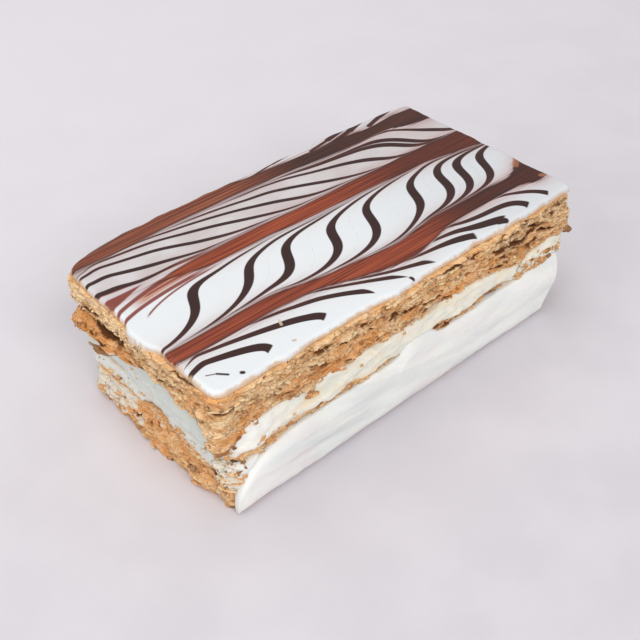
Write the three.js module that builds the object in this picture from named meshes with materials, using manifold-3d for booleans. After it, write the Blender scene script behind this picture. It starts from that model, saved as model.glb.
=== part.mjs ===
// A slice of mille feuille: three sheets of puff pastry with two layers of cream between
// them, and a sheet of fondant icing on top. Along the front the lower cream was smeared
// down over the edge of the bottom pastry, and hides it.
//
// Millimetres. +X runs along the slice, -Y is the front long side, +Z is up. The origin is
// the centre of the slice's box, on the surface that it stands on. Each layer is a closed
// solid that runs through the slice, and a hair's gap keeps it off the layers next to it.

import * as THREE from "three";
import { mergeVertices } from "three/addons/utils/BufferGeometryUtils.js";
import Module from "manifold-3d";

// Driving dimensions of the whole slice.
const LENGTH = 115;
const WIDTH = 60;
const CORNER = 3; // radius of the upright corners
const BACK_BOW = 5; // how far the back edge draws in at both ends
const GAP = 0.3; // clear space between two layers

// Thickness of each layer, from the bottom up. Together they make the height, 37 mm.
const BOTTOM_PASTRY = 8.6;
const LOWER_CREAM = 6.2;
const MIDDLE_PASTRY = 2.4;
const UPPER_CREAM = 8;
const TOP_PASTRY = 10.2;
const ICING = 1.6;

// How the layers swell and sag along the slice.
const LEFT_SWELL = 1.6; // extra middle pastry at the left end
const RIGHT_RISE = 2.4; // lift of the middle pastry towards the right end
const RIGHT_SAG = 3.4; // sag of the top pastry into the cream at the front right
const BACK_LEFT_SAG = 2.6; // its sag at the back left corner
const WAVE = 0.4; // height of the slow waves where two layers meet
const WAVE_LENGTH = 34;

// The top pastry's larger relief, in plies counted from its underside.
const PLIES = 6;
const CLEFT_PLY = 2; // the ply that is broken away at the back of the left end
const CLEFT_DEPTH = 2.6;
const CLEFT_TO_BACK = 5; // distance of the cleft's end from the back
const LEDGE_REACH = 1.1; // how far the plies under the cleft stand out
const FLAKE_PLY = 1; // the ply that sticks out at the front right corner
const FLAKE_REACH = 1.3;
const FLAKE_WIDTH = 5;

// The cream smeared down the front.
const SMEAR_LEFT = -LENGTH / 2 + 4;
const SMEAR_RIGHT = LENGTH / 2 - 3;
const SMEAR_FOOT = 0.5; // height of its lower edge
const SMEAR_LEFT_SWEEP = 13; // length of the rounded left end
const SMEAR_RIGHT_SWEEP = 4;
const SMEAR_BULGE = 1.2; // how far it stands proud of the front
const SMEAR_DEPTH = 4.2; // how far it reaches in behind the front

/** Repeatable random number from 0 to 1 for three whole numbers. */
function hash(i, j, k) {
  let h = Math.imul(i, 374761393) ^ Math.imul(j, 668265263) ^ Math.imul(k, 974634777);
  h = Math.imul(h ^ (h >>> 13), 1274126177);
  return ((h ^ (h >>> 16)) >>> 0) / 4294967296;
}

/** Smooth random wave from -1 to 1: random values at whole numbers, blended in between. */
function noise(x, y, seed) {
  const i = Math.floor(x);
  const j = Math.floor(y);
  const u = THREE.MathUtils.smoothstep(x - i, 0, 1);
  const v = THREE.MathUtils.smoothstep(y - j, 0, 1);
  const low = THREE.MathUtils.lerp(hash(i, j, seed), hash(i + 1, j, seed), u);
  const high = THREE.MathUtils.lerp(hash(i, j + 1, seed), hash(i + 1, j + 1, seed), u);
  return 2 * THREE.MathUtils.lerp(low, high, v) - 1;
}

/** A slow wave across the slice, in millimetres. */
function wave(x, y, seed) {
  return WAVE * noise(x / WAVE_LENGTH, y / WAVE_LENGTH, seed);
}

/** 1 at the left end, 0 from 32 mm in. */
const leftEnd = (x) => 1 - THREE.MathUtils.smoothstep(x, -LENGTH / 2, -LENGTH / 2 + 32);

/** 0 left of the middle, 1 at the right end. */
const rightEnd = (x) => THREE.MathUtils.smoothstep(x, -5, LENGTH / 2 - 8);

/** 1 at the front, 0 at the back. */
const frontSide = (y) => THREE.MathUtils.clamp(0.5 - y / WIDTH, 0, 1);

// Heights of the surfaces where two layers meet, at a place (x, y) of the slice.
const table = () => 0;
const bottomPastryTop = (x, y) => BOTTOM_PASTRY + wave(x, y, 1);
const lowerCreamTop = (x, y) =>
  BOTTOM_PASTRY + LOWER_CREAM + RIGHT_RISE * rightEnd(x) - LEFT_SWELL * leftEnd(x) + wave(x, y, 2);
const middlePastryTop = (x, y) =>
  BOTTOM_PASTRY + LOWER_CREAM + MIDDLE_PASTRY + RIGHT_RISE * rightEnd(x) + wave(x, y, 3);
const upperCreamTop = (x, y) =>
  BOTTOM_PASTRY + LOWER_CREAM + MIDDLE_PASTRY + UPPER_CREAM - RIGHT_SAG * rightEnd(x) * frontSide(y) -
  BACK_LEFT_SAG * leftEnd(x) * (1 - frontSide(y)) ** 2 + wave(x, y, 4);
const topPastryTop = (x, y) =>
  BOTTOM_PASTRY + LOWER_CREAM + MIDDLE_PASTRY + UPPER_CREAM + TOP_PASTRY + 0.4 * wave(x, y, 5);
const icingTop = (x, y) => topPastryTop(x, y) + ICING;

/**
 * Outline of a layer seen from above, counterclockwise: a rounded rectangle, drawn in from
 * the slice's box by an inset at each side and bowed along the back. Each point has its
 * outward normal and its distance along the outline.
 */
function outline(count, { left, right, front, back }) {
  const [x0, x1] = [-LENGTH / 2 + left, LENGTH / 2 - right];
  const [y0, y1] = [-WIDTH / 2 + front, WIDTH / 2 - back];
  const shape = new THREE.Shape()
    .moveTo(x0 + CORNER, y0)
    .lineTo(x1 - CORNER, y0)
    .absarc(x1 - CORNER, y0 + CORNER, CORNER, -Math.PI / 2, 0)
    .absarc(x1 - CORNER, y1 - CORNER, CORNER, 0, Math.PI / 2)
    .absarc(x0 + CORNER, y1 - CORNER, CORNER, Math.PI / 2, Math.PI)
    .absarc(x0 + CORNER, y0 + CORNER, CORNER, Math.PI, 1.5 * Math.PI);
  const step = shape.getLength() / count;
  const points = shape.getSpacedPoints(count).slice(0, count);
  for (const point of points) {
    const ends = Math.abs(point.x / (LENGTH / 2)) ** 5;
    point.y -= BACK_BOW * ends * Math.max(0, point.y / y1);
  }
  return points.map((point, i) => {
    const along = points[(i + 1) % count].clone().sub(points[(i + count - 1) % count]);
    const normal = new THREE.Vector2(along.y, -along.x).normalize();
    return { point, normal, distance: i * step };
  });
}

/**
 * Closed surface through a list of rings with equally many points each, ended by a fan at
 * the middle of the first and of the last ring. The rings turn counterclockwise when the
 * next ring lies towards the viewer.
 */
function skin(rings) {
  const count = rings[0].length;
  const middle = (ring) =>
    ring.reduce((sum, p) => sum.add(p), new THREE.Vector3()).divideScalar(count);
  const points = [...rings.flat(), middle(rings[0]), middle(rings.at(-1))];
  const [first, last] = [points.length - 2, points.length - 1];
  const faces = [];
  for (let i = 0; i < count; i++) {
    const next = (i + 1) % count;
    faces.push(first, next, i);
    for (let ring = 0; ring < rings.length - 1; ring++) {
      const [low, high] = [ring * count, (ring + 1) * count];
      faces.push(low + i, low + next, high + next, low + i, high + next, high + i);
    }
    const top = (rings.length - 1) * count;
    faces.push(last, top + i, top + next);
  }
  const geometry = new THREE.BufferGeometry().setFromPoints(points);
  return geometry.setIndex(faces);
}

/**
 * A layer between two height functions. Each row gives the side's place at one height:
 * row(side point) returns the share of the height, and the distance moved outwards. Rings
 * drawn in towards the middle carry the waves of the lower and upper face.
 */
function layer({ floor, roof, count, inset, rows, lowerRings = [0.5, 0.85], upperRings = [0.85, 0.5] }) {
  const side = outline(count, inset);
  const place = (x, y, share) => {
    const low = floor === table ? 0 : floor(x, y) + GAP / 2;
    const high = roof(x, y) - (roof === icingTop ? 0 : GAP / 2);
    return new THREE.Vector3(x, y, THREE.MathUtils.lerp(low, high, share));
  };
  const flat = (share) => (scale) =>
    side.map(({ point }) => place(point.x * scale, point.y * scale, share));
  const walls = rows.map((row) =>
    side.map((spot) => {
      const { share, out } = row(spot);
      const { point, normal } = spot;
      return place(point.x + normal.x * out, point.y + normal.y * out, share);
    }),
  );
  return skin([...lowerRings.map(flat(0)), ...walls, ...upperRings.map(flat(1))]);
}

/**
 * Rows of a baked pastry's cut side. The side is a stack of plies with wavy joints. Each
 * ply breaks off at a ragged line of its own, so that ledges and clefts run round it, and
 * here and there a tongue of it sticks out. Relief adds the larger shapes of one pastry.
 */
function pliedRows(plies, crag, seed, relief = () => 0) {
  const joint = (spot, ply) => {
    const inner = ply > 0 && ply < plies;
    return ply + (inner ? 0.32 * noise(spot.distance / 8, ply, seed) : 0);
  };
  const ragged = (spot, ply) => {
    const slow = 0.65 * noise(spot.distance / 6, ply, seed + 1);
    const quick = 0.45 * noise(spot.distance / 2.2, ply, seed + 2);
    const tongue = 3.5 * Math.max(0, noise(spot.distance / 3.5, ply, seed + 3) - 0.6);
    return crag * (slow + quick + tongue);
  };
  return Array.from({ length: 2 * plies }, (_, row) => (spot) => {
    const ply = Math.floor(row / 2);
    const upper = row % 2 === 1;
    const at = upper ? joint(spot, ply + 1) - 0.1 : joint(spot, ply) + 0.1;
    const share = row === 0 ? 0 : row === 2 * plies - 1 ? 1 : at / plies;
    return { share, out: ragged(spot, ply) + relief(spot.point, ply) };
  });
}

/**
 * The top pastry's relief: a cleft at the back of the left end, where a ply has broken
 * away over a ledge, and a flake that sticks out at the front right corner.
 */
function cleftAndFlake({ x, y }, ply) {
  const { smoothstep } = THREE.MathUtils;
  const atLeft = smoothstep(-x, LENGTH / 2 - 6, LENGTH / 2 - 1);
  const toBack = WIDTH / 2 - y;
  const opening = smoothstep(y, 0, 8) * smoothstep(toBack, CLEFT_TO_BACK, CLEFT_TO_BACK + 4);
  const cleft = ply === CLEFT_PLY ? -CLEFT_DEPTH * opening : 0;
  const ledge = ply < CLEFT_PLY ? LEDGE_REACH * smoothstep(y, 8, 18) : 0;
  const toCorner = Math.hypot(LENGTH / 2 - 1 - x, WIDTH / 2 - 3 + y);
  const flake = ply === FLAKE_PLY ? FLAKE_REACH * Math.exp(-((toCorner / FLAKE_WIDTH) ** 2)) : 0;
  return atLeft * (cleft + ledge) + flake;
}

/** Rows of a soft side that swells out by a bulge at mid height, with slow dents. */
function softRows(bulge, dent, seed) {
  return [0, 0.18, 0.5, 0.82, 1].map((share) => (spot) => {
    const swell = bulge * (1 - (2 * share - 1) ** 4);
    return { share, out: swell + dent * noise(spot.distance / 9, 4 * share, seed) };
  });
}

/** Rows of the icing's edge: a thin sheet with a soft rim that drapes a little. */
function rimRows() {
  const rim = [[0, -0.5], [0.3, 0], [0.7, -0.1], [0.93, -0.55], [1, -1.3]];
  return rim.map(([share, out]) => (spot) => ({
    share,
    out: out + 0.35 * noise(spot.distance / 7, 0, 31),
  }));
}

/**
 * The cream smeared down the front, as sections along X, grown outwards by a margin. Its
 * left end sweeps up in a quarter ellipse, its right end is rounder, and its face swells
 * between its foot, which is the height of its lower edge, and its top.
 */
function smear(grow = 0, foot = SMEAR_FOOT) {
  const columns = 32;
  const sweep = (distance, length) =>
    Math.sqrt(1 - (1 - THREE.MathUtils.clamp(distance / length, 0, 1)) ** 2);
  return skin(
    Array.from({ length: columns + 1 }, (_, column) => {
      const along = 0.5 - 0.5 * Math.cos((Math.PI * column) / columns);
      const x = THREE.MathUtils.lerp(SMEAR_LEFT - grow, SMEAR_RIGHT + grow, along);
      const rise = Math.min(
        sweep(x - SMEAR_LEFT + grow, SMEAR_LEFT_SWEEP),
        sweep(SMEAR_RIGHT + grow - x, SMEAR_RIGHT_SWEEP),
      );
      const sole = foot + 0.3 * noise(x / 5, 0, 41) ** 2;
      const inner = -WIDTH / 2 + SMEAR_DEPTH + grow;
      const ceiling = Math.min(lowerCreamTop(x, -WIDTH / 2), lowerCreamTop(x, inner));
      const top = ceiling - 0.9 * GAP + grow;
      const head = THREE.MathUtils.lerp(SMEAR_FOOT + 1 + grow, top, rise);
      const swell = (share) => (1 - (2 * share - 1) ** 4) * (0.4 + 0.6 * rise);
      const face = (share) => {
        const dents = 0.3 * noise(x / 13, 3 * share, 42);
        const y = -WIDTH / 2 - grow - (SMEAR_BULGE + dents) * swell(share);
        return new THREE.Vector3(x, y, THREE.MathUtils.lerp(sole, head, share));
      };
      return [
        ...[1, 0.85, 0.6, 0.35, 0.12, 0].map(face),
        new THREE.Vector3(x, inner, sole),
        new THREE.Vector3(x, inner, head),
      ];
    }),
  );
}

const wasm = await Module();
wasm.setup();

/** The solid of a closed geometry, for cutting and joining. */
function toSolid(geometry) {
  const merged = mergeVertices(geometry);
  const mesh = new wasm.Mesh({
    numProp: 3,
    vertProperties: new Float32Array(merged.attributes.position.array),
    triVerts: new Uint32Array(merged.index.array),
  });
  return new wasm.Manifold(mesh);
}

/** The geometry of a solid's largest body: a loose scrap left by a cut is dropped. */
function toGeometry(solid) {
  const bodies = solid.decompose().sort((a, b) => b.volume() - a.volume());
  const mesh = bodies[0].getMesh();
  const geometry = new THREE.BufferGeometry();
  geometry.setAttribute("position", new THREE.BufferAttribute(mesh.vertProperties, 3));
  return geometry.setIndex(new THREE.BufferAttribute(mesh.triVerts, 1));
}

/** A named layer with its own finish. */
function piece(name, geometry, color, roughness) {
  geometry.computeVertexNormals();
  const material = new THREE.MeshStandardMaterial({ color, roughness, metalness: 0 });
  const mesh = new THREE.Mesh(geometry, material);
  mesh.name = name;
  return mesh;
}

/** The pastry that the slice stands on, cut back at the front where the cream covers it. */
function bottomPastry() {
  const sheet = layer({
    floor: table,
    roof: bottomPastryTop,
    count: 104,
    inset: { left: 3.6, right: 3.2, front: 1.2, back: 2.4 },
    rows: pliedRows(4, 0.9, 51),
  });
  const covered = toSolid(smear(GAP, -1));
  return piece("bottom_pastry", toGeometry(toSolid(sheet).subtract(covered)), 0xd08a4e, 0.85);
}

/** The lower cream: the layer on the bottom pastry, in one piece with the smear. */
function lowerCream() {
  const sheet = layer({
    floor: bottomPastryTop,
    roof: lowerCreamTop,
    count: 72,
    inset: { left: 4.4, right: 3.6, front: 1.4, back: 2.6 },
    rows: softRows(0.6, 0.5, 61),
  });
  return piece("lower_cream", toGeometry(toSolid(sheet).add(toSolid(smear()))), 0xe4e8e4, 0.5);
}

/** The thin pastry between the two creams. */
function middlePastry() {
  const sheet = layer({
    floor: lowerCreamTop,
    roof: middlePastryTop,
    count: 96,
    inset: { left: 2.8, right: 2.4, front: 0.7, back: 1.8 },
    rows: pliedRows(2, 0.7, 71),
  });
  return piece("middle_pastry", sheet, 0xc9905a, 0.85);
}

/** The upper cream, set back under the top pastry at the left end. */
function upperCream() {
  const sheet = layer({
    floor: middlePastryTop,
    roof: upperCreamTop,
    count: 72,
    inset: { left: 3.4, right: 2.4, front: 1.2, back: 1.6 },
    rows: softRows(0.7, 0.6, 81),
  });
  return piece("upper_cream", sheet, 0xe8e6d6, 0.5);
}

/** The pastry under the icing, the thickest and the most ragged of the three. */
function topPastry() {
  const sheet = layer({
    floor: upperCreamTop,
    roof: topPastryTop,
    count: 140,
    inset: { left: 0.6, right: 0.6, front: 0.6, back: 0.4 },
    rows: pliedRows(PLIES, 0.9, 91, cleftAndFlake),
  });
  return piece("top_pastry", sheet, 0xd6a06c, 0.85);
}

/** The sheet of fondant icing. */
function icing() {
  const sheet = layer({
    floor: topPastryTop,
    roof: icingTop,
    count: 84,
    inset: { left: 2.2, right: 0.6, front: 0.8, back: 0.4 },
    rows: rimRows(),
    upperRings: [0.93, 0.75, 0.4],
  });
  return piece("icing", sheet, 0xf0f2f4, 0.2);
}

const slice = new THREE.Group();
slice.add(bottomPastry(), lowerCream(), middlePastry(), upperCream(), topPastry(), icing());

// The ragged edges decide the box, so the slice is centred on it at the end.
const centre = new THREE.Box3().setFromObject(slice).getCenter(new THREE.Vector3());
slice.position.set(-centre.x, -centre.y, 0);

export default slice;
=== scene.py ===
"""Dresses a slice of mille feuille: flaky pastry, two creams and feathered fondant.

Everything is worked out in millimetres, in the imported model's own frame, and becomes metres
when a mesh is made. +X runs along the slice, -Y is its front long side and +Z is up.
"""

from __future__ import annotations

import logging
import math
from dataclasses import dataclass, field
from enum import Enum
from functools import cached_property
from typing import Callable

import bpy
import numpy as np
from mathutils import Matrix, Vector

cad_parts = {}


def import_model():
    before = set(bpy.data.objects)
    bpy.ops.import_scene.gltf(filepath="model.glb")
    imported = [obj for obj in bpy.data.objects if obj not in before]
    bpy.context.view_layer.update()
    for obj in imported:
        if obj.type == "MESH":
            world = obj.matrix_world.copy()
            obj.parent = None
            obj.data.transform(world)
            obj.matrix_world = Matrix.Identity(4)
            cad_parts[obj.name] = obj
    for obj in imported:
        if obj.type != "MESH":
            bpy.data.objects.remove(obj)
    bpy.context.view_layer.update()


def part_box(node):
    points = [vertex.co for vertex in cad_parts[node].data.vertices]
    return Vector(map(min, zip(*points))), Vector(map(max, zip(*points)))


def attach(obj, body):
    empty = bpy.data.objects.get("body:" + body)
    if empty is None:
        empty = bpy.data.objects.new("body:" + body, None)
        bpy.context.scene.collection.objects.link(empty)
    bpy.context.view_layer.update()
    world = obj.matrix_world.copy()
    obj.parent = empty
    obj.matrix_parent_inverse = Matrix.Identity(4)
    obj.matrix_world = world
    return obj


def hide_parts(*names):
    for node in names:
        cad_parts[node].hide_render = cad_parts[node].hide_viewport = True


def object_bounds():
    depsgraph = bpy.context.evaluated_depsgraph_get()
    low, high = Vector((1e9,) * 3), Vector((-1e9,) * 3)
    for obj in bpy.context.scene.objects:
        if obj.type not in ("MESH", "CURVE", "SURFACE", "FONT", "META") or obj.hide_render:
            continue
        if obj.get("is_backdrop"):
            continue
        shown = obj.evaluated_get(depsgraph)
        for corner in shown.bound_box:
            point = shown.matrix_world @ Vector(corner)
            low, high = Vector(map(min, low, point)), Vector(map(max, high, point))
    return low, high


MM = 0.001  # metres in a millimetre
BODY = "root"
HAIR = 0.02  # clearance in millimetres between the pieces and the slice's box
CAP_STEPS = ((0.5, 1.0), (0.94, 1.0), (0.985, 0.5))  # scale and levelling of a face's rings

Array = np.ndarray
Colour = tuple[float, float, float]
Place = tuple[float, float, float]
Box = tuple[Place, Place]

log = logging.getLogger("mille_feuille")


# ---- random waves


@dataclass(frozen=True)
class Noise:
    """Repeatable random waves in space, made from random numbers on a grid of cells.

    Attributes:
        seed: Whole number that sets these waves apart from others.
    """

    seed: int

    def _random(self, cells: Array) -> Array:
        """Mixes the bits of whole numbers into a random number.

        Args:
            cells: Whole numbers, three for each cell, in the last axis.

        Returns:
            One number from 0 to 1 for each cell.
        """
        mask, axis_factors = 0xFFFFFFFF, np.array([374761393, 668265263, 1103515245])
        seed_factor, mix_factor = 974634777, 1274126177
        mixed = (cells * axis_factors).sum(-1)
        mixed = (mixed + self.seed * seed_factor) & mask
        mixed = ((mixed ^ (mixed >> 13)) * mix_factor) & mask
        return ((mixed ^ (mixed >> 16)) & mask) / mask

    def smooth(self, points: Array, size: float | Colour) -> Array:
        """Wave from -1 to 1: corner values of a cell, blended by 6t^5 - 15t^4 + 10t^3.

        Args:
            points: Places in millimetres, shape (count, 3).
            size: Size of a cell, one number or one for each axis.

        Returns:
            The wave's height at each place.
        """
        spot = points / np.asarray(size, float)
        cell = np.floor(spot).astype(np.int64)
        part = spot - cell
        part = part**3 * (part * (part * 6 - 15) + 10)
        total = np.zeros(len(points))
        for corner in np.ndindex(2, 2, 2):
            share = np.where(np.array(corner), part, 1 - part).prod(-1)
            total += share * self._random(cell + np.array(corner))
        return 2 * total - 1

    def layered(self, points: Array, size: float | Colour, octaves: int = 3) -> Array:
        """Sum of waves, each half as high and half as long as the one before.

        Args:
            points: Places in millimetres, shape (count, 3).
            size: Cell size of the longest wave.
            octaves: Number of waves.

        Returns:
            The summed wave, from about -1 to 1.
        """
        seed_step, usual_height = 101, 1.4
        total = np.zeros(len(points))
        for octave in range(octaves):
            wave = Noise(self.seed + seed_step * octave)
            total += wave.smooth(points, np.asarray(size) / 2**octave) / 2**octave
        return total / usual_height

    def grains(self, points: Array, size: float | Colour) -> tuple[Array, Array]:
        """Packed grains: each place belongs to the nearest of one random point per cell.

        Args:
            points: Places in millimetres, shape (count, 3).
            size: Size of a grain, one number or one for each axis.

        Returns:
            The grain's dome, 1 in its middle and 0 at its rim, and the grain's own random
            number from 0 to 1.
        """
        seed_step, rim = 7, 0.8
        spot = points / np.asarray(size, float)
        cell = np.floor(spot).astype(np.int64)
        nearest = np.full(len(points), np.inf)
        own = np.zeros(len(points))
        offsets = [Noise(self.seed + seed_step * axis) for axis in (1, 2, 3)]
        for step in np.ndindex(3, 3, 3):
            there = cell + np.array(step) - 1
            middle = there + np.stack([offset._random(there) for offset in offsets], -1)
            distance = np.sqrt(((spot - middle) ** 2).sum(-1))
            closer = distance < nearest
            nearest = np.where(closer, distance, nearest)
            own = np.where(closer, self._random(there), own)
        return np.clip(1 - nearest / rim, 0, 1), own


def ease(value: Array, start: float, end: float) -> Array:
    """Rises from 0 at start to 1 at end along 3t^2 - 2t^3."""
    part = np.clip((value - start) / (end - start), 0, 1)
    return part * part * (3 - 2 * part)


# ---- surfaces


@dataclass
class Surface:
    """Points, faces and values of a mesh that is being worked out.

    Attributes:
        points: Places in millimetres, shape (count, 3).
        faces: Corner numbers of the faces, as arrays of quads or triangles.
        marks: Named values, one for each point.
    """

    points: Array
    faces: list[Array]
    marks: dict[str, Array] = field(default_factory=dict)

    @staticmethod
    def through(rings: Array) -> Surface:
        """Closed surface through rings, with a fan to the middle of the first and last.

        Args:
            rings: Points on the rings, shape (rings, columns, 3). They turn
                counterclockwise as seen from the side of the last ring.

        Returns:
            The surface, whose last two points are the middles of the fans.
        """
        rows, columns = rings.shape[:2]
        middles = np.stack([rings[0].mean(0), rings[-1].mean(0)])
        index = np.arange(rows * columns).reshape(rows, columns)
        beside = np.roll(index, -1, 1)
        quads = np.stack([index[:-1], beside[:-1], beside[1:], index[1:]], -1).reshape(-1, 4)
        first, last = rows * columns, rows * columns + 1
        lower = np.stack([np.full(columns, first), beside[0], index[0]], -1)
        upper = np.stack([np.full(columns, last), index[-1], beside[-1]], -1)
        points = np.concatenate([rings.reshape(-1, 3), middles])
        return Surface(points, [quads, np.concatenate([lower, upper])])

    @staticmethod
    def joined(surfaces: list[Surface]) -> Surface:
        """Puts several surfaces with the same marks into one.

        Args:
            surfaces: The surfaces.

        Returns:
            One surface that holds all their faces.
        """
        starts = np.cumsum([0] + [len(surface.points) for surface in surfaces])
        pairs = zip(surfaces, starts)
        faces = [part + start for surface, start in pairs for part in surface.faces]
        marks = {
            name: np.concatenate([surface.marks[name] for surface in surfaces])
            for name in surfaces[0].marks
        }
        return Surface(np.concatenate([surface.points for surface in surfaces]), faces, marks)

    def make(self, name: str, material: bpy.types.Material) -> bpy.types.Object:
        """Makes the mesh object, in metres, with smooth shading and its marks as attributes.

        Args:
            name: Name of the object.
            material: Its finish.

        Returns:
            The new object, standing at the origin.
        """
        mesh = bpy.data.meshes.new(name)
        faces = [face for part in self.faces for face in part.tolist()]
        mesh.from_pydata((self.points * MM).tolist(), [], faces)
        mesh.polygons.foreach_set("use_smooth", np.ones(len(faces), bool))
        for mark, values in self.marks.items():
            attribute = mesh.attributes.new(mark, "FLOAT", "POINT")
            attribute.data.foreach_set("value", values.astype(np.float32))
        mesh.materials.append(material)
        mesh.update()
        piece = bpy.data.objects.new(name, mesh)
        bpy.context.scene.collection.objects.link(piece)
        return piece


# ---- shader maths


class Value:
    """A number that changes over a surface: one socket, with the operators that are used."""

    def __init__(self, sheet: Finish, socket: bpy.types.NodeSocket) -> None:
        """Wraps the socket that gives the number, and the finish whose node it is on."""
        self.sheet = sheet
        self.socket = socket

    def _math(self, operation: str, *operands: Value | float) -> Value:
        """Adds one Math node.

        Args:
            operation: Name of the node's operation.
            *operands: Its operands in order.

        Returns:
            The node's result.
        """
        inputs = dict(enumerate(operands))
        node = self.sheet.node("ShaderNodeMath", {"operation": operation}, inputs)
        return Value(self.sheet, node.outputs[0])

    def __add__(self, other: Value | float) -> Value:
        """Sum."""
        return self._math("ADD", self, other)

    __radd__ = __add__

    def __sub__(self, other: Value | float) -> Value:
        """Difference."""
        return self._math("SUBTRACT", self, other)

    def __rsub__(self, other: float) -> Value:
        """Difference from a plain number."""
        return self._math("SUBTRACT", other, self)

    def __mul__(self, other: Value | float) -> Value:
        """Product."""
        return self._math("MULTIPLY", self, other)

    __rmul__ = __mul__

    def __truediv__(self, other: Value | float) -> Value:
        """Quotient."""
        return self._math("DIVIDE", self, other)

    def power(self, exponent: float) -> Value:
        """Power with a fixed exponent."""
        return self._math("POWER", self, exponent)

    def exponential(self) -> Value:
        """The number e to this power."""
        return self._math("EXPONENT", self)

    def size(self) -> Value:
        """Distance from 0."""
        return self._math("ABSOLUTE", self)

    def at_least(self, other: Value | float) -> Value:
        """The larger of the two."""
        return self._math("MAXIMUM", self, other)

    def at_most(self, other: Value | float) -> Value:
        """The smaller of the two."""
        return self._math("MINIMUM", self, other)

    def rise(self, start: float, end: float) -> Value:
        """Rises from 0 at start to 1 at end along 3t^2 - 2t^3.

        Args:
            start: Where the rise begins.
            end: Where it ends.

        Returns:
            Shares from 0 to 1.
        """
        node = self.sheet.node(
            "ShaderNodeMapRange",
            {"interpolation_type": "SMOOTHSTEP"},
            {"Value": self, "From Min": start, "From Max": end},
        )
        return Value(self.sheet, node.outputs[0])


class Finish:
    """One material and its nodes. Places are read in millimetres from Object coordinates."""

    def __init__(self, name: str) -> None:
        """Starts an empty material with a Principled shader.

        Args:
            name: Name of the material.
        """
        self.material = bpy.data.materials.new(name)
        self.material.use_nodes = True
        self.tree = self.material.node_tree
        self.tree.nodes.clear()
        self.shader = self.node("ShaderNodeBsdfPrincipled")
        output = self.node("ShaderNodeOutputMaterial")
        self.tree.links.new(self.shader.outputs[0], output.inputs[0])
        self.place = self.node("ShaderNodeTexCoord").outputs["Object"]

    def node(
        self, kind: str, settings: dict | None = None, inputs: dict | None = None
    ) -> bpy.types.Node:
        """Adds a node of any kind.

        Args:
            kind: The node's type.
            settings: Its properties.
            inputs: Its sockets' values or links, by name or number.

        Returns:
            The new node.
        """
        made = self.tree.nodes.new(kind)
        for name, setting in (settings or {}).items():
            setattr(made, name, setting)
        for key, given in (inputs or {}).items():
            self._give(made.inputs[key], given)
        return made

    def _give(self, socket: bpy.types.NodeSocket, given: object) -> None:
        """Links a socket to its source, or sets its value.

        Args:
            socket: The socket.
            given: What it is linked to, or its value.
        """
        source = given.socket if isinstance(given, Value) else given
        if isinstance(source, bpy.types.NodeSocket):
            self.tree.links.new(source, socket)
        elif isinstance(source, tuple) and socket.type == "RGBA":
            socket.default_value = (*source, 1.0)
        else:
            socket.default_value = source

    def axes(self) -> tuple[Value, Value, Value]:
        """The place's three coordinates in millimetres."""
        parts = self.node("ShaderNodeSeparateXYZ", inputs={0: self.place})
        return tuple(Value(self, socket) * (1 / MM) for socket in parts.outputs)

    def mark(self, name: str) -> Value:
        """A value that the mesh carries at its points."""
        node = self.node("ShaderNodeAttribute", {"attribute_name": name})
        return Value(self, node.outputs["Fac"])

    def waves(
        self, size: float | Colour, detail: float = 2.0, shift: float = 0.0, tilt: float = 0.0
    ) -> Value:
        """Noise texture.

        Args:
            size: Length of a wave in millimetres, one number or one for each axis.
            detail: Number of finer waves.
            shift: Distance that it is moved by, to tell two of them apart.
            tilt: Degrees that it climbs by towards the right.

        Returns:
            The noise, from 0 to 1.
        """
        sizes = size if isinstance(size, tuple) else (size,) * 3
        scale = tuple(1 / (MM * length) for length in sizes)
        place = self.node(
            "ShaderNodeMapping",
            inputs={"Vector": self.place, "Rotation": (0.0, math.radians(tilt), 0.0)},
        )
        spot = self.node(
            "ShaderNodeMapping",
            inputs={"Vector": place.outputs[0], "Location": (shift,) * 3, "Scale": scale},
        )
        inputs = {"Vector": spot.outputs[0], "Scale": 1.0, "Detail": detail}
        return Value(self, self.node("ShaderNodeTexNoise", inputs=inputs).outputs[0])

    def mix(
        self,
        share: Value | float,
        first: Colour | bpy.types.NodeSocket,
        second: Colour | bpy.types.NodeSocket,
    ) -> bpy.types.NodeSocket:
        """Mixes two colours; the share from 0 to 1 is the second one's."""
        node = self.node("ShaderNodeMix", {"data_type": "RGBA"}, {0: share, 6: first, 7: second})
        return node.outputs[2]

    def bump(self, height: Value, depth: float) -> bpy.types.NodeSocket:
        """Normal bumped by a height, whose 1 stands for a depth in millimetres."""
        node = self.node("ShaderNodeBump", inputs={"Height": height, "Distance": depth * MM})
        return node.outputs["Normal"]

    def set(self, **inputs: object) -> bpy.types.Material:
        """Sets the shader's sockets.

        Args:
            **inputs: Values or links, by the socket's name with _ for a space.

        Returns:
            The finished material.
        """
        for name, given in inputs.items():
            socket = self.shader.inputs[name.replace("_", " ").title().replace("Ior", "IOR")]
            self._give(socket, given)
        return self.material


# ---- finishes


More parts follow.
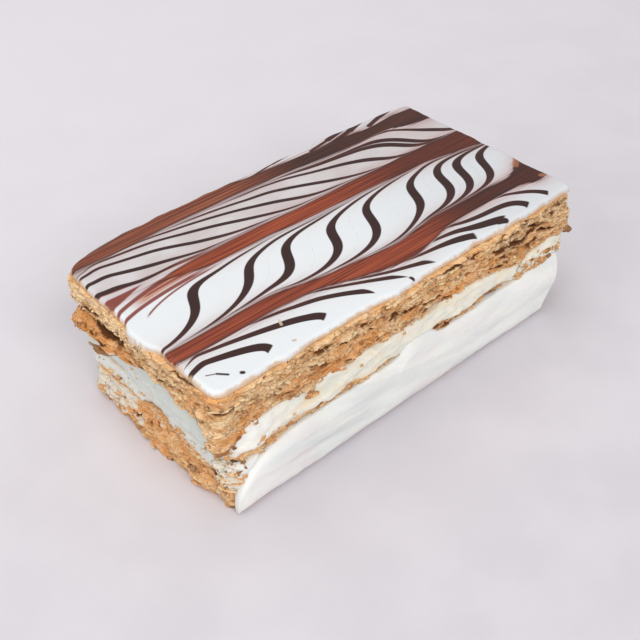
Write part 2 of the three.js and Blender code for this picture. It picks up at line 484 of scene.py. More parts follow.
@dataclass(frozen=True)
class CrustFinish:
    """Dry baked puff pastry: pale at the grains' tips, partly a painted highlight, and brown in
    the clefts, partly painted shade.

    Attributes:
        name: Name of the material.
        pale: Colour of the tips, where it is partly a painted highlight, and of the pale patches.
        golden: Main colour.
        orange: Colour where the mark "bake" is 1.
        right_end_shade: Painted shade that the crust darkens towards at the right end.
        brown: Colour deep in the clefts and hollows, the crust's own brown mixed with painted
            shade.
        cream: Colour of the cream that sticks to it.
    """

    name: str
    pale: Colour = (0.96, 0.73, 0.45)
    golden: Colour = (0.78, 0.44, 0.19)
    orange: Colour = (0.84, 0.38, 0.12)
    right_end_shade: Colour = (0.40, 0.18, 0.06)
    brown: Colour = (0.155, 0.052, 0.015)
    cream: Colour = (0.85, 0.81, 0.70)

    def make(self) -> bpy.types.Material:
        """Builds the material.

        Returns:
            The pastry's material.
        """
        finish = Finish(self.name)
        patches = finish.waves((3.2, 3.2, 1.3), 3.0)
        grit = finish.waves((0.6, 0.6, 0.3), 2.0, 5.0)
        veins = (finish.waves((4.5, 4.5, 0.9), 2.0, 9.0) - 0.5).size()
        x, _, _ = finish.axes()
        body = finish.mix(finish.mark("bake"), self.golden, self.orange)
        # Painted shade: the crust turns darker towards the right end.
        body = finish.mix(x.rise(34.0, 58.0) * 0.3, body, self.right_end_shade)
        paler = 1.0 - finish.mark("bake") * 0.5
        body = finish.mix(patches.rise(0.42, 0.66) * 0.5 * paler, body, self.pale)
        # Painted highlight: paler where the mark "tip" is high, on the parts that stand out, with
        # random grit.
        tips = (finish.mark("pale_and_highlight") + grit * 0.8 - 0.4).rise(0.35, 1.0)
        body = finish.mix(tips * 0.9 * paler, body, self.pale)
        body = finish.mix((1.0 - veins.rise(0.0, 0.035)) * 0.5, body, self.brown)
        # Brown in the clefts, gaps and hollows: the crust's own brown with painted shade.
        gaps = finish.mark("cleft") + (grit - 0.5) * 0.3
        body = finish.mix(gaps.rise(0.15, 0.75), body, self.brown)
        smears = finish.mark("cream") + (finish.waves((3.2, 3.2, 1.8), 3.0, 3.0) - 0.5) * 1.8
        smears = smears.rise(0.38, 0.62)
        body = finish.mix(smears * 0.9, body, self.cream)
        height = grit * 0.8 + finish.waves((1.4, 1.4, 0.6), 2.0, 7.0)
        return finish.set(
            base_color=body,
            roughness=0.8 - smears * 0.3,
            specular_ior_level=0.25,
            normal=finish.bump(height, 0.55),
            subsurface_weight=0.1,
            subsurface_radius=(1.0, 0.5, 0.25),
            subsurface_scale=0.5 * MM,
        )


@dataclass(frozen=True)
class CreamFinish:
    """Soft cream with a satin skin, faintly tinted in slow patches.

    Attributes:
        name: Name of the material.
        light: Main colour.
        shade: Colour of the darker streaks.
        warm: Colour of the warm patches.
        left_end_shade: Painted shade at the left end of the slice.
        far: Colour that it turns a little towards at the right end: painted light for the whipped
            cream, which turns lighter there, and painted shade for the custard, which turns
            darker.
        left_end_light: Whiter colour that it turns towards near the left end, painted light.
        streak: Length and height of the streaks in millimetres.
        tilt: Degrees that they climb by towards the right.
        foot: Colour of the lowest edge.
        crumb: Colour of the crumbs in it.
    """

    name: str
    light: Colour
    shade: Colour
    warm: Colour
    left_end_shade: Colour
    far: Colour
    streak: tuple[float, float]
    tilt: float = 0.0
    left_end_light: Colour = (0.98, 0.98, 0.95)
    foot: Colour = (0.74, 0.60, 0.60)
    crumb: Colour = (0.62, 0.36, 0.14)

    def make(self) -> bpy.types.Material:
        """Builds the material.

        Returns:
            The cream's material.
        """
        finish = Finish(self.name)
        long, high = self.streak
        streaks = finish.waves((long, long, high), 2.0, 0.0, self.tilt)
        warmth = finish.waves((long * 0.8, long * 0.8, high * 0.8), 2.0, 4.0, self.tilt)
        x, _, z = finish.axes()
        body = finish.mix(streaks.rise(0.4, 0.6) * 0.9, self.light, self.shade)
        body = finish.mix(warmth.rise(0.5, 0.66) * 0.7, body, self.warm)
        # Painted light and shade that even out the lamps' falloff towards the right end.
        body = finish.mix(x.rise(-36.0, 10.0) * 0.4, body, self.far)
        # Painted light: whiter near the left end.
        body = finish.mix((1.0 - x.rise(-50.0, -28.0)) * 0.6, body, self.left_end_light)
        # Painted shade on the left end.
        body = finish.mix((1.0 - x.rise(-55.0, -52.0)) * 0.85, body, self.left_end_shade)
        body = finish.mix((1.0 - z.rise(0.5, 1.9)) * 0.75, body, self.foot)
        crumbs = finish.mark("crumb")
        body = finish.mix(crumbs.rise(0.2, 0.8), body, self.crumb)
        height = finish.waves(0.9, 2.0, 8.0) * 0.4 + finish.waves((3.4, 3.4, 1.8), 2.0, 2.0)
        return finish.set(
            base_color=body,
            roughness=0.45,
            specular_ior_level=0.35,
            normal=finish.bump(height, 0.22),
            subsurface_weight=0.4,
            subsurface_radius=(1.0, 0.85, 0.65),
            subsurface_scale=1.0 * MM,
        )


@dataclass(frozen=True)
class Spine:
    """One stroke of the comb along the fondant, which drags the piped lines to a point.

    Attributes:
        centre: Distance from the back edge at the left end, in millimetres.
        half: Half of its width there.
        bends: Changes of the centre: amount, and the two places along between which it
            comes about.
        swells: Changes of the half width, given the same way.
    """

    centre: float
    half: float
    bends: tuple[tuple[float, float, float], ...]
    swells: tuple[tuple[float, float, float], ...]

    def path(self, along: Value) -> tuple[Value, Value]:
        """Its centre and its half width: the first value plus each change times a rise.

        Args:
            along: Distance from the left end in millimetres.

        Returns:
            Centre and half width, in millimetres.
        """
        centre = along * 0.0 + self.centre
        for amount, start, end in self.bends:
            centre = centre + along.rise(start, end) * amount
        half = along * 0.0 + self.half
        for amount, start, end in self.swells:
            half = half + along.rise(start, end) * amount
        return centre, half


@dataclass(frozen=True)
class Drag:
    """How far a spine drags a line that crosses it, at a distance t from the spine's edge.

    The drag is reach * e^(-t / width) + tail * e^(-t / tail_width).

    Attributes:
        reach: Drag at the edge in millimetres, without the tail.
        width: Distance over which it dies away.
        tail: Further drag close to the edge.
        tail_width: Distance over which that dies away.
    """

    reach: float
    width: float
    tail: float
    tail_width: float = 0.6

    def pull(self, distance: Value) -> tuple[Value, Value]:
        """Works out the drag and its slope.

        Args:
            distance: Distance from the spine's edge in millimetres.

        Returns:
            Drag in millimetres, and how much it changes for each millimetre.
        """
        outside = distance.at_least(0.0)
        far = (outside * (-1 / self.width)).exponential() * self.reach
        near = (outside * (-1 / self.tail_width)).exponential() * self.tail
        return far + near, far * (1 / self.width) + near * (1 / self.tail_width)


@dataclass(frozen=True)
class Sweep:
    """A drag that ends at a length: reach * (1 - t / length)^2 at a distance t.

    Attributes:
        reach: Drag at the spine's edge in millimetres.
        length: Distance at which it ends.
    """

    reach: float
    length: float

    def pull(self, distance: Value) -> tuple[Value, Value]:
        """The drag at a distance from the spine's edge, and its slope."""
        left = (1.0 - distance.at_least(0.0) * (1 / self.length)).at_least(0.0)
        return left * left * self.reach, left * (2 * self.reach / self.length)


@dataclass(frozen=True)
class FeatheredFondant:
    """White fondant with chocolate lines, combed into feathers.

    The lines were piped across the slice. Three strokes of a comb along it, the spines, drag
    them left, right and left again, so a line that crosses the slice at a place p shows
    where the distance along, less the drag, is p.

    Attributes:
        left: X of the slice's left end in millimetres.
        back: Y of its back edge.
        white: Main colour.
        shaded: Painted shade that it turns towards at the right end.
        blush: Colour beside the spines.
        band_shade: Painted shade on the band behind the middle spine.
        chocolate: Colour of the lines.
        rust: Colour of the lines close to a spine.
        red: Colour of the streaks that fan out.
        salmon: Colour of the fill between them.
        crust: Colour of the thin rim.
    """

    left: float
    back: float
    white: Colour = (0.78, 0.81, 0.825)
    shaded: Colour = (0.60, 0.62, 0.655)
    blush: Colour = (0.56, 0.42, 0.41)
    band_shade: Colour = (0.57, 0.505, 0.50)
    chocolate: Colour = (0.034, 0.013, 0.011)
    rust: Colour = (0.17, 0.038, 0.022)
    red: Colour = (0.22, 0.036, 0.020)
    salmon: Colour = (0.52, 0.24, 0.15)
    crust: Colour = (0.66, 0.45, 0.27)

    def lines(
        self, shifted: Value, slope: Value, places: tuple[float, ...], half: Value | float,
        cut: Value | None = None,
    ) -> Value:
        """Mask of one band's lines, which thin out where the drag is steep.

        The nearest place is the first one plus a step to the next one halfway between each
        two, and a line's width across itself is its piped width / (1 + slope^2)^0.5.

        Args:
            shifted: Distance along the slice, less the drag.
            slope: The drag's slope.
            places: Where the lines were piped.
            half: Half of a line's width where it isn't dragged.
            cut: How far past the lines' slanted ends a point lies, if they end.

        Returns:
            1 on a line, 0 off it.
        """
        thinnest, softness, slant = 0.24, 0.14, 0.5
        nearest = shifted - places[0]
        for before, place in zip(places, places[1:]):
            middle = (before + place) / 2
            nearest = nearest - shifted.rise(middle - 0.02, middle + 0.02) * (place - before)
        steepness = (slope * slope + 1.0).power(0.5)
        line = ((half - nearest.size()) / steepness + thinnest).rise(-softness, softness)
        line = line * (1.0 - slope.rise(8.0, 22.0) * 0.7)
        if cut is not None:
            line = line * (1.0 - (cut + nearest * slant).rise(-0.15, 0.25))
        return line

    @staticmethod
    def stroke(
        along: Value, across: Value, start: tuple[float, float], end: tuple[float, float],
        radius: float,
    ) -> Value:
        """Mask of a short stroke: the places closer to a line between two points than a radius.

        Args:
            along: Distance from the left end.
            across: Distance from the back edge.
            start: Distances of the line's start from the left end and the back edge.
            end: The same for its end.
            radius: Half of the stroke's width.

        Returns:
            1 on the stroke, 0 off it.
        """
        run, drop = end[0] - start[0], end[1] - start[1]
        square = run * run + drop * drop
        part = (along - start[0]) * (run / square) + (across - start[1]) * (drop / square)
        part = part.at_least(0.0).at_most(1.0)
        left, down = along - part * run - start[0], across - part * drop - start[1]
        away = (left * left + down * down).power(0.5)
        return 1.0 - (away - radius).rise(-0.15, 0.2)

    def fan(self, along: Value, across: Value) -> tuple[Value, Value]:
        """Masks of the streaks that fan out at the left end of the middle spine.

        A streak's middle lies at a distance level + drop * e^(-along / length) from the back
        edge. A pointed wedge lies behind them, and a pale fill between the first two.

        Args:
            along: Distance from the left end.
            across: Distance from the back edge.

        Returns:
            Mask of the streaks and the wedge, and mask of the fill.
        """
        streaks = (
            (20.4, 4.4, 10.0, -9.0, 26.0, 0.55), (24.0, 3.9, 9.0, -9.0, 25.0, 0.5),
            (24.4, 9.5, 8.5, 4.5, 28.0, 0.22), (19.4, -3.4, 16.0, -9.0, 30.0, 0.35),
            (22.0, 2.6, 12.0, 8.0, 28.0, 0.2),
        )
        wedge = (2.2 - along * 0.19) - (across + along * 0.15 - 20.7).size()
        mask = wedge.rise(-0.1, 0.35)
        for level, drop, length, start, stop, half in streaks:
            middle = (along * (-1 / length)).exponential() * drop + level
            away = (across - middle).size() - half
            streak = (1.0 - away.rise(-0.15, 0.3)) * along.rise(start, start + 2.0)
            mask = mask.at_least(streak * (1.0 - along.rise(stop - 5.0, stop + 3.0)))
        level, drop, length = streaks[0][:3]
        upper = (along * (-1 / length)).exponential() * drop + level
        fill = (across - upper).rise(0.0, 0.6) * (1.0 - (across - upper).rise(2.0, 3.0))
        return mask, fill * along.rise(3.0, 9.0) * (1.0 - along.rise(20.0, 27.0))

    def make(self) -> bpy.types.Material:
        """Builds the material.

        Returns:
            The icing's material.
        """
        finish = Finish("feathered_fondant")
        x, y, _ = finish.axes()
        along = x - self.left + (finish.waves(16.0, 1.0, 1.0) - 0.5) * 0.7
        across = self.back - y + (finish.waves((22.0, 12.0, 12.0), 1.0, 2.0) - 0.5) * 0.6

        back = Spine(
            2.9, 2.4,
            ((-1.4, 10, 27), (1.3, 46, 60), (1.3, 60, 80), (0.9, 86, 98), (1.7, 98, 116)),
            ((0.8, 10, 27), (-0.7, 46, 58), (0.4, 76, 86), (-0.8, 88, 97), (1.8, 99, 108)),
        )
        middle = Spine(
            21.0, -0.6, ((0.5, 14, 30), (0.9, 40, 60), (0.6, 70, 92), (2.2, 92, 118)),
            ((3.1, 6, 28), (0.35, 40, 60), (0.35, 60, 92), (1.7, 92, 118)),
        )
        front = Spine(
            44.0, 2.3, ((5.9, 26, 64), (-2.3, 64, 80), (0.6, 96, 108), (-2.0, 108, 116)),
            ((0.3, 8, 26), (-0.6, 30, 38), (1.4, 38, 58), (-0.9, 62, 86), (2.6, 104, 114)),
        )
        back_at, back_half = back.path(along)
        middle_at, middle_half = middle.path(along)
        front_at, front_half = front.path(along)

        # Distances from the spines' edges, positive inside each band between two spines.
        far_low, far_high = across - back_at - back_half, middle_at - middle_half - across
        near_low, near_high = across - middle_at - middle_half, front_at - front_half - across
        hem = across - front_at - front_half - (1.0 - along.rise(-1.0, 6.0)) * 2.6

        up, up_slope = Drag(33.7, 2.13, 12.0).pull(near_low)
        down, down_slope = Drag(18.6, 3.72, 12.0).pull(near_high)
        gain = 1.0 - along.rise(60.0, 100.0) * 0.48
        curls = self.lines(
            along - gain * (up - down), gain * (up_slope + down_slope),
            (17.0, 31.9, 42.3, 55.6, 67.2, 82.9, 92.9, 99.5, 106.9), 1.1,
        )
        pull, pull_slope = Sweep(30.3, 9.24).pull(hem)
        wide, wide_slope = Sweep(21.6, 15.3).pull(hem)
        tight, tight_slope = Sweep(10.0, 7.1).pull(hem)
        first, second = along.rise(44.0, 72.0), along.rise(80.0, 100.0)
        drag = pull + (wide - pull) * first + (tight - wide) * second
        steep = pull_slope + (wide_slope - pull_slope) * first
        steep = steep + (tight_slope - wide_slope) * second
        widening = hem.at_least(0.0).at_most(6.0) * 0.14 + 0.14
        thick = (steep * steep + 1.0).power(0.5) * widening
        hooks = self.lines(
            along + drag, steep, (18.2, 33.5, 51.9, 67.8, 77.3, 86.4, 93.0, 99.6, 107.7),
            thick, across - 55.6 - along.rise(45.0, 75.0) * 1.6,
        )
        curl = along.rise(3.0, 8.0) * (1.0 - along.rise(18.0, 30.0)) * 0.8
        curl = curl - (1.0 - along.rise(-1.0, 6.0)) * 1.3
        right, right_slope = Drag(12.1, 3.85, 12.0).pull(far_high - curl)
        left, left_slope = Drag(36.1, 6.0, 12.0).pull(far_low + curl)
        gain = 1.21 - along.rise(48.0, 58.0) * 0.21 - along.rise(68.0, 98.0) * 0.64
        sweeps = self.lines(
            along - gain * (right - left), gain * (right_slope + left_slope),
            (8.1, 19.8, 33.9, 47.3, 60.4, 73.2, 88.8, 99.1, 102.7, 113.1), 1.1,
        )

        line = curls * near_low.rise(-0.3, 0.2) * near_high.rise(-0.3, 0.2)
        line = line.at_least(hooks * hem.rise(-0.3, 0.2))
        line = line.at_least(sweeps * far_low.rise(-0.3, 0.2) * far_high.rise(-0.3, 0.2))
        blots = (
            ((57.3, 0.7), (65.3, -0.6), 0.3), ((65.3, -0.6), (71.3, -1.3), 0.5),
            ((77.3, 1.4), (84.3, 0.1), 0.5), ((84.3, 0.1), (92.3, -1.6), 0.8),
            ((85.3, 1.9), (92.3, 0.5), 0.8), ((92.3, 0.5), (97.3, -1.3), 1.0),
            ((98.0, 2.2), (103.3, 0.5), 0.7), ((103.3, 0.5), (107.5, -0.4), 0.8),
            ((3.3, 53.0), (5.3, 54.0), 0.12), ((5.3, 54.0), (6.9, 55.7), 0.28),
            ((9.3, 57.1), (9.5, 57.3), 0.45), ((57.0, 58.2), (57.1, 58.8), 0.42),
            ((88.4, 57.0), (89.9, 57.6), 1.15),
        )
        for start, end, radius in blots:
            line = line.at_least(self.stroke(along, across, start, end, radius))

        # Colour: fondant with painted shade, a blush beside the spines, the lines, then the
        # spines themselves.
        ragged = (finish.waves((20.0, 0.6, 0.6), 2.0, 3.0) - 0.5) * 1.3
        edges = {
            "back": (across - back_at).size() - back_half,
            "middle": (across - middle_at).size() - middle_half,
            "front": (across - front_at).size() - front_half,
        }
        beside = edges["back"].at_most(edges["middle"]).at_most(edges["front"]).at_least(0.0)
        near = (beside * (-1 / 2.2)).exponential()
        band = far_low.rise(0.0, 1.5) * far_high.rise(0.0, 1.5)
        cloud = finish.waves((9.0, 5.0, 5.0), 2.0, 14.0).rise(0.35, 0.7)
        # Painted shade: the fondant turns darker towards the right end.
        body = finish.mix(along.rise(46.0, 112.0) * 0.62, self.white, self.shaded)
        # Painted shade on the band behind the middle spine, patchy in random clouds.
        body = finish.mix(band * (cloud * 0.35 + 0.6), body, self.band_shade)
        body = finish.mix(near * (along.rise(60.0, 100.0) * 0.25 + 0.7), body, self.blush)
        ink = finish.mix(near * 0.4, self.chocolate, self.rust)
        fan, fill = self.fan(along, across)
        body = finish.mix(fill * 0.9, body, self.salmon)
        body = finish.mix(fan * 0.95, body, self.red)
        body = finish.mix(line, body, ink)
        streaks = finish.waves((34.0, 0.5, 0.5), 3.0, 6.0).rise(0.32, 0.68)
        fine = finish.waves((18.0, 0.22, 0.22), 1.0, 8.0).rise(0.55, 0.75)
        tones = (
            ("back", (0.11, 0.026, 0.015), (0.33, 0.10, 0.048), (0.036, 0.015, 0.011),
             (44.0, 76.0), 0.95),
            ("middle", (0.13, 0.020, 0.010), (0.42, 0.085, 0.030), (0.060, 0.018, 0.011),
             (62.0, 96.0), 0.85),
            ("front", (0.13, 0.021, 0.011), (0.39, 0.080, 0.032), (0.040, 0.017, 0.012),
             (62.0, 94.0), 0.95),
        )
        covered = line
        for key, dark, light, end, (start, stop), share in tones:
            tone = finish.mix(streaks, dark, light)
            last = finish.mix(streaks * 0.5, end, dark)
            tone = finish.mix(along.rise(start, stop) * share, tone, last)
            tone = finish.mix(fine * 0.35, tone, self.chocolate)
            border = (edges[key] + ragged * 0.7).rise(-1.2, -0.1)
            tone = finish.mix(border * 0.75, tone, self.chocolate)
            mask = 1.0 - (edges[key] + ragged).rise(-0.4, 0.25)
            body = finish.mix(mask, body, tone)
            covered = covered.at_least(mask)
        hatch = finish.waves((30.0, 0.42, 0.42), 2.0, 17.0).rise(0.47, 0.6)
        hatch = hatch * (beside * (-1 / 0.9)).exponential() * (1.0 - covered)
        body = finish.mix(hatch * 0.75, body, self.rust)
        chips = (
            ((25.5, 49.6), (24.9, 51.0), 0.3, (0.62, 0.50, 0.36)),
            ((23.4, 56.7), (23.7, 56.8), 0.35, (0.56, 0.42, 0.32)),
            ((111.5, 43.3), (114.6, 41.0), 0.8, (0.36, 0.14, 0.07)),
            ((112.6, 50.8), (114.6, 51.4), 0.7, (0.36, 0.15, 0.08)),
        )
        for start, end, radius, colour in chips:
            chip = self.stroke(along, across, start, end, radius)
            body = finish.mix(chip * 0.8, body, colour)
        frayed = (finish.waves(1.3, 2.0, 13.0) - 0.5) * 0.9
        frayed = frayed + (finish.waves(5.0, 1.0, 15.0) - 0.5) * 0.9
        thin = (finish.mark("rim") + frayed).rise(0.4, 0.9)
        body = finish.mix(thin * 0.85, body, self.crust)
        skin = finish.waves(5.0, 2.0, 11.0) * 0.5 + finish.waves(0.8, 1.0, 12.0) * 0.06
        return finish.set(
            base_color=body,
            roughness=0.36 + covered * 0.08,
            specular_ior_level=0.3,
            normal=finish.bump(skin - covered * 0.1, 0.3),
        )


# ---- shape of the slice


class Face(Enum):
    """Surfaces where two layers meet, from the table up."""

    TABLE = 0
    BOTTOM_PASTRY = 1
    LOWER_CREAM = 2
    MIDDLE_PASTRY = 3
    UPPER_CREAM = 4
    TOP_PASTRY = 5
    ICING = 6


@dataclass(frozen=True)
class Slice:
    """The slice's size, and the heights of the surfaces between its layers.

    Attributes:
        length: Length without crags, in millimetres.
        width: Width without crags.
        top: Height of the icing's top.
        levels: Mean height of each surface, by its number.
        left_swell: How far the lower cream's top sinks at the left end.
        right_rise: How far it and the middle pastry's top rise at the right end.
        right_sag: How far the upper cream's top sinks at the right of the front.
        back_left_sag: How far it sinks at the back of the left end.
        middle_sag: How far it sinks in the middle of the front.
    """

    length: float = 115.0
    width: float = 60.0
    top: float = 37.05
    levels: tuple[float, ...] = (0.0, 8.6, 15.6, 17.9, 25.3, 35.4)
    left_swell: float = 1.6
    right_rise: float = 2.0
    right_sag: float = 2.9
    back_left_sag: float = 3.6
    middle_sag: float = 1.1

    def left_end(self, x: Array, reach: float = 7.0) -> Array:
        """Share from 0 to 1 that rises over the last stretch before the left end."""
        return ease(-x, self.length / 2 - reach, self.length / 2 - 1.5)

    def corner(self, x: Array, y: Array, reach: float = 9.0) -> Array:
        """Share that falls from 1 at the front left corner to 0 at a distance from it."""
        away = np.hypot(x + self.length / 2, y + self.width / 2) - 2.0
        return np.clip(1 - away / reach, 0, 1) ** 2

    def height(self, face: Face, x: Array, y: Array) -> Array:
        """Height of a surface: its mean, the swells and sags of the ends, and a slow wave.

        Args:
            face: The surface.
            x: Places along the slice in millimetres.
            y: Places across it.

        Returns:
            Heights in millimetres.
        """
        apart, wave_height, wave_length = 9.0, 0.4, 34.0
        left = 1 - ease(x, -self.length / 2, -self.length / 2 + 32)
        right = ease(x, -5.0, self.length / 2 - 8)
        front = np.clip(0.5 - y / self.width, 0, 1)
        flat = np.stack([x.ravel(), y.ravel(), np.full(x.size, apart * face.value)], -1)
        wave = wave_height * Noise(face.value).smooth(flat, wave_length).reshape(x.shape)
        if face is Face.TABLE:
            return np.zeros(x.shape)
        if face is Face.BOTTOM_PASTRY:
            return self.levels[1] + wave
        if face is Face.LOWER_CREAM:
            return self.levels[2] + self.right_rise * right - self.left_swell * left + wave
        if face is Face.MIDDLE_PASTRY:
            return self.levels[3] + self.right_rise * right + wave
        if face is Face.UPPER_CREAM:
            sag = self.right_sag * (ease(x, 25.0, 37.0) - 0.9 * ease(x, 38.5, 43.5)) * front
            sag = sag + self.back_left_sag * left * (1 - front) ** 2
            sag = sag + self.middle_sag * np.exp(-(((x + 7.0) / 12.0) ** 4)) * front**2
            return self.levels[4] - sag + wave
        if face is Face.TOP_PASTRY:
            return self.levels[5] + 0.4 * wave
        return self.top - 0.1 + 0.25 * wave


@dataclass(frozen=True)
class Outline:
    """A rounded rectangle seen from above, whose back edge draws in at both ends.

    Attributes:
        low: Its lowest x and y in millimetres.
        high: Its highest x and y.
        radii: Radii of its corners, from the front right one counterclockwise.
        bows: How far the back edge draws in at the left and right ends.
    """

    low: tuple[float, float]
    high: tuple[float, float]
    radii: tuple[float, float, float, float] = (2.6, 2.6, 2.6, 2.6)
    bows: tuple[float, float] = (5.0, 5.0)

    def trace(self, count: int) -> tuple[Array, Array]:
        """Points at equal distances along it, counterclockwise, and their outward normals.

        The back edge at a place x drops by a bow times |x / end|^7.

        Args:
            count: Number of points.

        Returns:
            Points and normals, shape (count, 2) each.
        """
        (x0, y0), (x1, y1) = self.low, self.high
        corners = np.array([[x1, y0], [x1, y1], [x0, y1], [x0, y0]])
        inwards = np.array([[-1, 1], [-1, -1], [1, -1], [1, 1]])
        radii = np.array(self.radii)[:, None]
        turns = np.linspace(0, math.pi / 2, 13)
        angle = np.array([-0.5, 0, 0.5, 1])[:, None] * math.pi + turns
        arcs = (corners + inwards * radii)[:, None]
        arcs = arcs + radii[:, None] * np.stack([np.cos(angle), np.sin(angle)], -1)
        loop = np.concatenate([arcs.reshape(-1, 2), arcs[0, :1]])
        steps = np.concatenate([[0], np.cumsum(np.hypot(*np.diff(loop, axis=0).T))])
        places = np.linspace(0, steps[-1], count, endpoint=False)
        points = np.stack([np.interp(places, steps, loop[:, axis]) for axis in (0, 1)], -1)
        bow = np.where(points[:, 0] < 0, *self.bows)
        ends = np.abs(points[:, 0] / np.where(points[:, 0] < 0, x0, x1)) ** 7
        points[:, 1] -= bow * ends * np.maximum(0, points[:, 1] / y1)
        along = np.roll(points, -1, 0) - np.roll(points, 1, 0)
        normals = np.stack([along[:, 1], -along[:, 0]], -1)
        return points, normals / np.linalg.norm(normals, axis=1, keepdims=True)


@dataclass
class Wall:
    """The side of a layer as a grid of points, before its relief.

    Attributes:
        base: Points on the plain side, shape (rows, columns, 3).
        normals: Outward normals, shape (columns, 2).
        shares: Share of the layer's height for each row.
    """

    base: Array
    normals: Array
    shares: Array

    @property
    def points(self) -> Array:
        """Its points in a row, shape (rows * columns, 3)."""
        return self.base.reshape(-1, 3)

    @property
    def axes(self) -> Array:
        """X, y and z of its points, shape (3, rows, columns)."""
        return np.moveaxis(self.base, -1, 0)

    def moved(self, out: Array, lift: Array | float = 0.0) -> Array:
        """Points of the side moved outwards and upwards.

        Args:
            out: Distance outwards for each point, shape (rows, columns).
            lift: Distance upwards.

        Returns:
            Points, shape (rows, columns, 3).
        """
        points = self.base.copy()
        points[..., :2] += self.normals * out[..., None]
        points[..., 2] += lift
        return points


@dataclass
class Layer:
    """A layer of the slice between two of its surfaces.

    Attributes:
        slice_: The whole slice.
        node: The CAD node that it stands for.
        floor: The surface that it lies on.
        roof: The surface on top of it.
        margin: How far its plain side lies inside the node's box, at the left, right,
            front and back.
        columns: Points round its side.
        rows: Points up its side.
        seed: Number of its random waves.
        bows: How far its back edge draws in at the left and right ends.
    """

    slice_: Slice
    node: str
    floor: Face
    roof: Face
    margin: tuple[float, float, float, float]
    columns: int
    rows: int
    seed: int
    bows: tuple[float, float] = (2.4, 4.5)

    def outline(self) -> Outline:
        """The node's box drawn in by the margin.

        Returns:
            The outline.
        """
        low, high = (np.array(corner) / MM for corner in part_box(self.node))
        left, right, front, back = self.margin
        corners = (low[0] + left, low[1] + front), (high[0] - right, high[1] - back)
        return Outline(*corners, bows=self.bows)

    def low(self, x: Array, y: Array) -> Array:
        """Height of its lower face."""
        return self.slice_.height(self.floor, x, y)

    def high(self, x: Array, y: Array) -> Array:
        """Height of its upper face."""
        return self.slice_.height(self.roof, x, y)

    @cached_property
    def wall(self) -> Wall:
        """The plain side: the outline carried from the lower face to the upper one.

        Returns:
            The side.
        """
        points, normals = self.outline().trace(self.columns)
        shares = np.linspace(0, 1, self.rows)
        low, high = self.low(*points.T), self.high(*points.T)
        heights = low + (high - low) * shares[:, None]
        plan = np.broadcast_to(points, (self.rows, *points.shape))
        return Wall(np.concatenate([plan, heights[..., None]], -1), normals, shares)

    @staticmethod
    def cap(
        ring: Array, face: Callable[[Array, Array], Array], scale: float, share: float
    ) -> Array:
        """A ring on a face: the side's end ring scaled towards the middle.

        Args:
            ring: The side's first or last ring, shape (columns, 3).
            face: Gives the face's height at x and y.
            scale: Scale of the ring seen from above.
            share: Share of the face's own height; the rest is the ring's.

        Returns:
            The new ring.
        """
        plan = ring[:, :2] * scale
        height = face(*plan.T) * share + ring[:, 2] * (1 - share)
        return np.concatenate([plan, height[:, None]], -1)

    def closed(self, walls: Array) -> Surface:
        """Closes a side with its lower and upper faces.

        Args:
            walls: Points of the side, shape (rows, columns, 3).

        Returns:
            The closed surface.
        """
        below = [self.cap(walls[0], self.low, *step) for step in CAP_STEPS]
        above = [self.cap(walls[-1], self.high, *step) for step in CAP_STEPS[::-1]]
        return Surface.through(np.stack([*below, *walls, *above]))

    @property
    def start(self) -> int:
        """Number of the side's first point in the closed surface."""
        return len(CAP_STEPS) * self.columns

    def spread(self, values: Array, surface: Surface) -> Array:
        """Gives a mark of the side to every point of the closed surface, 0 on the faces.

        Args:
            values: The mark on the side, shape (rows, columns).
            surface: The closed surface.

        Returns:
            The mark for each point.
        """
        marks = np.zeros(len(surface.points))
        marks[self.start:self.start + values.size] = values.ravel()
        return marks

    def fitted(self, surface: Surface) -> Surface:
        """Keeps every point inside the slice's box, clear of its faces by a hair.

        Args:
            surface: The surface.

        Returns:
            The same surface.
        """
        low, high = (np.array(corner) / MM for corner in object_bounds())
        surface.points = np.clip(surface.points, low + [HAIR, HAIR, 0], high - HAIR)
        return surface


